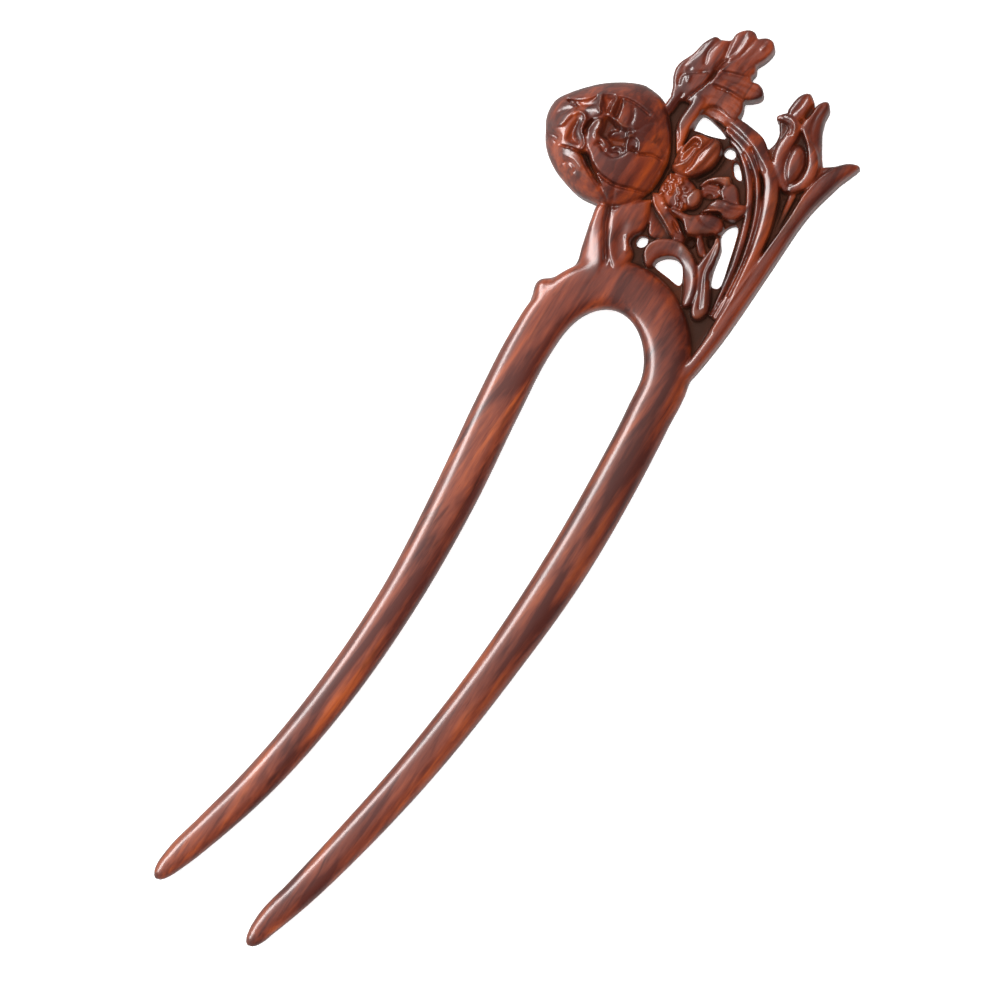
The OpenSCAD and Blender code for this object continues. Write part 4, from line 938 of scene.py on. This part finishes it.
def rosewoodMaterial():
    material = bpy.data.materials.new("lacquered_rosewood")
    material.use_nodes = True
    tree = material.node_tree
    shader = tree.nodes["Principled BSDF"]
    place = addNode(tree, "ShaderNodeTexCoord", {}, {}).outputs["Object"]
    perMillimetre = 1 / mm

    # Each noise is taken at places divided by its size across and along the grain, and
    # moved by its seed
    noise = {}
    for name, (across, along, seed, detail, rough, bend) in rosewood["noises"].items():
        scaled = addNode(tree, "ShaderNodeMapping", {}, {
            "Vector": place, "Location": [seed * part for part in rosewood["seedWay"]],
            "Scale": [perMillimetre / size for size in (across, along, across)]})
        noise[name] = addNode(tree, "ShaderNodeTexNoise", {}, {
            "Vector": scaled.outputs["Vector"], "Scale": 1.0, "Detail": detail,
            "Roughness": rough, "Distortion": bend}).outputs["Fac"]

    # The figure: clouds of dark, middle and light brown drawn out along the grain
    figure = addNode(tree, "ShaderNodeMath", {"operation": "MULTIPLY_ADD"}, {
        0: noise["fine"], 1: rosewood["fineShare"], 2: noise["cloud"]}).outputs["Value"]
    ramp = addNode(tree, "ShaderNodeValToRGB", {}, {"Fac": figure})
    ramp.color_ramp.elements.new(0.5)
    for stop, (along, tone) in zip(ramp.color_ramp.elements, rosewood["figure"]):
        stop.position = along
        stop.color = linear(tone)
    colour = ramp.outputs["Color"]

    # The wood is warmer from the arch up, and darker to the right except in the lobed leaf:
    # each a smooth step along a way
    steps = []
    for way, start, end, before, after in rosewood["steps"]:
        along = addNode(tree, "ShaderNodeVectorMath", {"operation": "DOT_PRODUCT"}, {
            0: place, 1: [part * perMillimetre for part in way]}).outputs["Value"]
        steps.append(addNode(tree, "ShaderNodeMapRange", {"interpolation_type": "SMOOTHSTEP"}, {
            "Value": along, "From Min": start, "From Max": end, "To Min": before,
            "To Max": after}).outputs["Result"])
    dark = addNode(tree, "ShaderNodeMath", {"operation": "MULTIPLY"}, {
        0: steps[1], 1: steps[2]}).outputs["Value"]
    for share, tint in ((steps[0], "warm"), (dark, "shade")):
        colour = addNode(tree, "ShaderNodeMix", {"data_type": "RGBA", "blend_type": "MULTIPLY"}, {
            "Factor": share, 6: colour, 7: linear(rosewood[tint])}).outputs[2]

    # Dark streaks: edges of the year rings round a heart outside the fork, long along the
    # grain, bent by the warp, and seen only where their strength allows
    moved = addNode(tree, "ShaderNodeMapping", {}, {
        "Vector": place, "Location": [part * mm for part in rosewood["ringHeart"]],
        "Rotation": rosewood["ringTurn"]}).outputs["Vector"]
    flat = addNode(tree, "ShaderNodeVectorMath", {"operation": "MULTIPLY"}, {
        0: moved, 1: (1, rosewood["ringStretch"], 1)}).outputs["Vector"]
    radius = addNode(tree, "ShaderNodeVectorMath", {"operation": "LENGTH"}, {
        0: flat}).outputs["Value"]
    rings = addNode(tree, "ShaderNodeMath", {"operation": "MULTIPLY"}, {
        0: radius, 1: perMillimetre / rosewood["ringSpacing"]}).outputs["Value"]
    warped = addNode(tree, "ShaderNodeMath", {"operation": "MULTIPLY_ADD"}, {
        0: noise["warp"], 1: rosewood["ringWarp"], 2: rings}).outputs["Value"]
    fromEdge = addNode(tree, "ShaderNodeMath", {"operation": "PINGPONG"}, {
        0: warped, 1: 0.5}).outputs["Value"]
    narrow = addNode(tree, "ShaderNodeMapRange", {}, {
        "Value": fromEdge, "From Min": rosewood["streakWidth"], "From Max": 0.0})
    strong = addNode(tree, "ShaderNodeMapRange", {}, {
        "Value": noise["strength"], "From Min": rosewood["streakFrom"],
        "From Max": rosewood["streakTo"], "To Max": rosewood["streakShare"]})
    streaks = addNode(tree, "ShaderNodeMath", {"operation": "MULTIPLY"}, {
        0: narrow.outputs["Result"], 1: strong.outputs["Result"]}).outputs["Value"]
    colour = addNode(tree, "ShaderNodeMix", {"data_type": "RGBA"}, {
        "Factor": streaks, 6: colour, 7: linear(rosewood["streak"])}).outputs[2]

    # Over them the pores, painted shade in the cuts and low places, and a lighter brown on the raised
    # lips
    relief = addNode(tree, "ShaderNodeAttribute", {"attribute_name": "relief"}, {})
    follows = {"pores": noise["pores"], "paintedShade": relief.outputs["Fac"],
               "lighterLips": relief.outputs["Fac"]}
    shares = {}
    for name, (tone, start, full, most, kind) in rosewood["layers"].items():
        shares[name] = addNode(tree, "ShaderNodeMapRange", {"interpolation_type": kind}, {
            "Value": follows[name], "From Min": start, "From Max": full,
            "To Max": most}).outputs["Result"]
        colour = addNode(tree, "ShaderNodeMix", {"data_type": "RGBA"}, {
            "Factor": shares[name], 6: colour, 7: linear(tone)}).outputs[2]
    tree.links.new(colour, shader.inputs["Base Color"])

    # The lacquer and the wood's own shine are taken away where the shade is painted in the cuts
    lacquer = addNode(tree, "ShaderNodeMath", {"operation": "MULTIPLY_ADD"}, {
        0: shares["paintedShade"], 1: -rosewood["lacquerLost"], 2: 1.0}).outputs["Value"]
    tree.links.new(lacquer, shader.inputs["Coat Weight"])
    shine = addNode(tree, "ShaderNodeMath", {"operation": "MULTIPLY"}, {
        0: lacquer, 1: rosewood["shine"]}).outputs["Value"]
    tree.links.new(shine, shader.inputs["Specular IOR Level"])
    # what stands in for it where the link is lost
    shader.inputs["Specular IOR Level"].default_value = rosewood["shine"]
    grain = addNode(tree, "ShaderNodeBump", {}, {
        "Height": noise["pores"], "Strength": rosewood["poreStrength"],
        "Distance": rosewood["poreDepth"] * mm}).outputs["Normal"]
    tree.links.new(grain, shader.inputs["Normal"])
    shader.inputs["Roughness"].default_value = rosewood["roughness"]
    shader.inputs["Coat Roughness"].default_value = rosewood["lacquerRoughness"]
    shader.inputs["Coat IOR"].default_value = rosewood["lacquerIor"]
    return material


fork.data.materials.append(rosewoodMaterial())
print("lacquered rosewood on the fork")

# The camera looks down on the carved face, tilted towards the fork's right, with the fork's
# length leaning over to the picture's right. Millimetres from the throat, and degrees
look = {"tilt": 8.5, "lean": 35.0, "distance": 560.0, "target": (0.62, -37.12, 3.0),
        "sensor": 36.0, "widthSeen": 166.667, "clip": (0.01, 50)}
tilt, lean = math.radians(look["tilt"]), math.radians(look["lean"])
towards = Vector((math.sin(tilt), 0, math.cos(tilt)))
right = Vector((-math.sin(lean), math.cos(lean), 0)).cross(towards).normalized()
up = towards.cross(right)
target = origin + Vector(look["target"]) * mm


def turnedTo(across, over, out, spot):
    # Matrix of an object whose own x, y and z point these ways, standing at the spot
    return Matrix((*zip(across, over, out, spot), (0, 0, 0, 1)))


def inPicture(degrees):
    # Direction in the picture's plane, turned this far round from the picture's right
    turn = math.radians(degrees)
    return right * math.cos(turn) + up * math.sin(turn)


camera = bpy.data.objects.new("camera", bpy.data.cameras.new("camera"))
camera.data.sensor_width = look["sensor"]
camera.data.lens = look["sensor"] * look["distance"] / look["widthSeen"]
camera.data.clip_start, camera.data.clip_end = look["clip"]
camera.matrix_world = turnedTo(right, up, towards, target + towards * look["distance"] * mm)
bpy.context.scene.collection.objects.link(camera)
bpy.context.scene.camera = camera

studio = {"floorReach": 2.0, "floor": "f6f6f6", "floorGlow": 0.5, "floorRoughness": 0.6,
          "mirroredFloor": "8a8280", "walls": "ffffff",
          # the walls' strength near the horizon and overhead, and the heights, as the sine of
          # the rise, between which it changes
          "horizon": 0.35, "overhead": 0.2, "lowSky": 0.1, "highSky": 0.8,
          # direction of the light side in degrees, strength of the dark one, and between
          # what cosines from the light side it changes
          "litFrom": 152, "darkSide": 0.3, "darkTo": -0.6, "lightFrom": 0.3,
          # a softbox: turn round the picture from its right and height over its plane, in
          # degrees; distance and size in metres; brightness as its radiance; whether the
          # lacquer mirrors it and whether it lights the wood's own colour
          "softboxes": [
              {"name": "long_softbox", "turn": 158, "rise": 34, "distance": 0.6,
               "size": (0.9, 0.16), "radiance": 17.0, "mirrored": True, "colours": False},
              {"name": "fill_softbox", "turn": 120, "rise": 80, "distance": 0.9,
               "size": (0.9, 0.9), "radiance": 5.9, "mirrored": False, "colours": True}]}


def layFloor():
    # A level sheet under the fork, lit from within a little as a light table is
    r = studio["floorReach"]
    mesh = bpy.data.meshes.new("floor")
    mesh.from_pydata([(-r, -r, 0), (r, -r, 0), (r, r, 0), (-r, r, 0)], [], [(0, 1, 2, 3)])
    floor = bpy.data.objects.new("floor", mesh)
    bpy.context.scene.collection.objects.link(floor)
    paper = bpy.data.materials.new("white_paper")
    paper.use_nodes = True
    shader = paper.node_tree.nodes["Principled BSDF"]
    # seen in the gloss of the wood it is dimmer, as the room round a photo's sheet is
    mirrored = addNode(paper.node_tree, "ShaderNodeLightPath", {}, {}).outputs["Is Glossy Ray"]
    tone = addNode(paper.node_tree, "ShaderNodeMix", {"data_type": "RGBA"}, {
        "Factor": mirrored, 6: linear(studio["floor"]), 7: linear(studio["mirroredFloor"])})
    paper.node_tree.links.new(tone.outputs[2], shader.inputs["Base Color"])
    paper.node_tree.links.new(tone.outputs[2], shader.inputs["Emission Color"])
    shader.inputs["Roughness"].default_value = studio["floorRoughness"]
    shader.inputs["Emission Strength"].default_value = studio["floorGlow"]
    mesh.materials.append(paper)
    floor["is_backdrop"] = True


def lightStudio():
    # White all round: dimmer overhead, brighter towards the horizon, and dimmer again on the
    # side away from the softboxes
    world = bpy.data.worlds.new("studio")
    world.use_nodes = True
    tree = world.node_tree
    way = addNode(tree, "ShaderNodeTexCoord", {}, {}).outputs["Generated"]
    rise = addNode(tree, "ShaderNodeSeparateXYZ", {}, {"Vector": way}).outputs["Z"]
    strength = addNode(tree, "ShaderNodeMapRange", {}, {
        "Value": rise, "From Min": studio["lowSky"], "From Max": studio["highSky"],
        "To Min": studio["horizon"], "To Max": studio["overhead"]}).outputs["Result"]
    facing = addNode(tree, "ShaderNodeVectorMath", {"operation": "DOT_PRODUCT"}, {
        0: way, 1: tuple(inPicture(studio["litFrom"]))}).outputs["Value"]
    side = addNode(tree, "ShaderNodeMapRange", {}, {
        "Value": facing, "From Min": studio["darkTo"], "From Max": studio["lightFrom"],
        "To Min": studio["darkSide"], "To Max": 1.0}).outputs["Result"]
    strength = addNode(tree, "ShaderNodeMath", {"operation": "MULTIPLY"}, {
        0: strength, 1: side}).outputs["Value"]
    tree.links.new(strength, tree.nodes["Background"].inputs["Strength"])
    tree.nodes["Background"].inputs["Color"].default_value = linear(studio["walls"])
    bpy.context.scene.world = world
    for box in studio["softboxes"]:
        rise = math.radians(box["rise"])
        way = inPicture(box["turn"]) * math.cos(rise) + towards * math.sin(rise)
        lamp = bpy.data.lights.new(box["name"], "AREA")
        lamp.shape = "RECTANGLE"
        lamp.size, lamp.size_y = box["size"]
        lamp.energy = box["radiance"] * math.pi * box["size"][0] * box["size"][1]
        light = bpy.data.objects.new(box["name"], lamp)
        light.visible_glossy = box["mirrored"]
        light.visible_diffuse = box["colours"]
        side = towards.cross(way).normalized()
        light.matrix_world = turnedTo(side, way.cross(side), way, target + way * box["distance"])
        bpy.context.scene.collection.objects.link(light)


layFloor()
lightStudio()
bpy.context.scene.view_settings.view_transform = "Standard"
print("camera, floor and", len(studio["softboxes"]), "softboxes in place")

low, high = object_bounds()
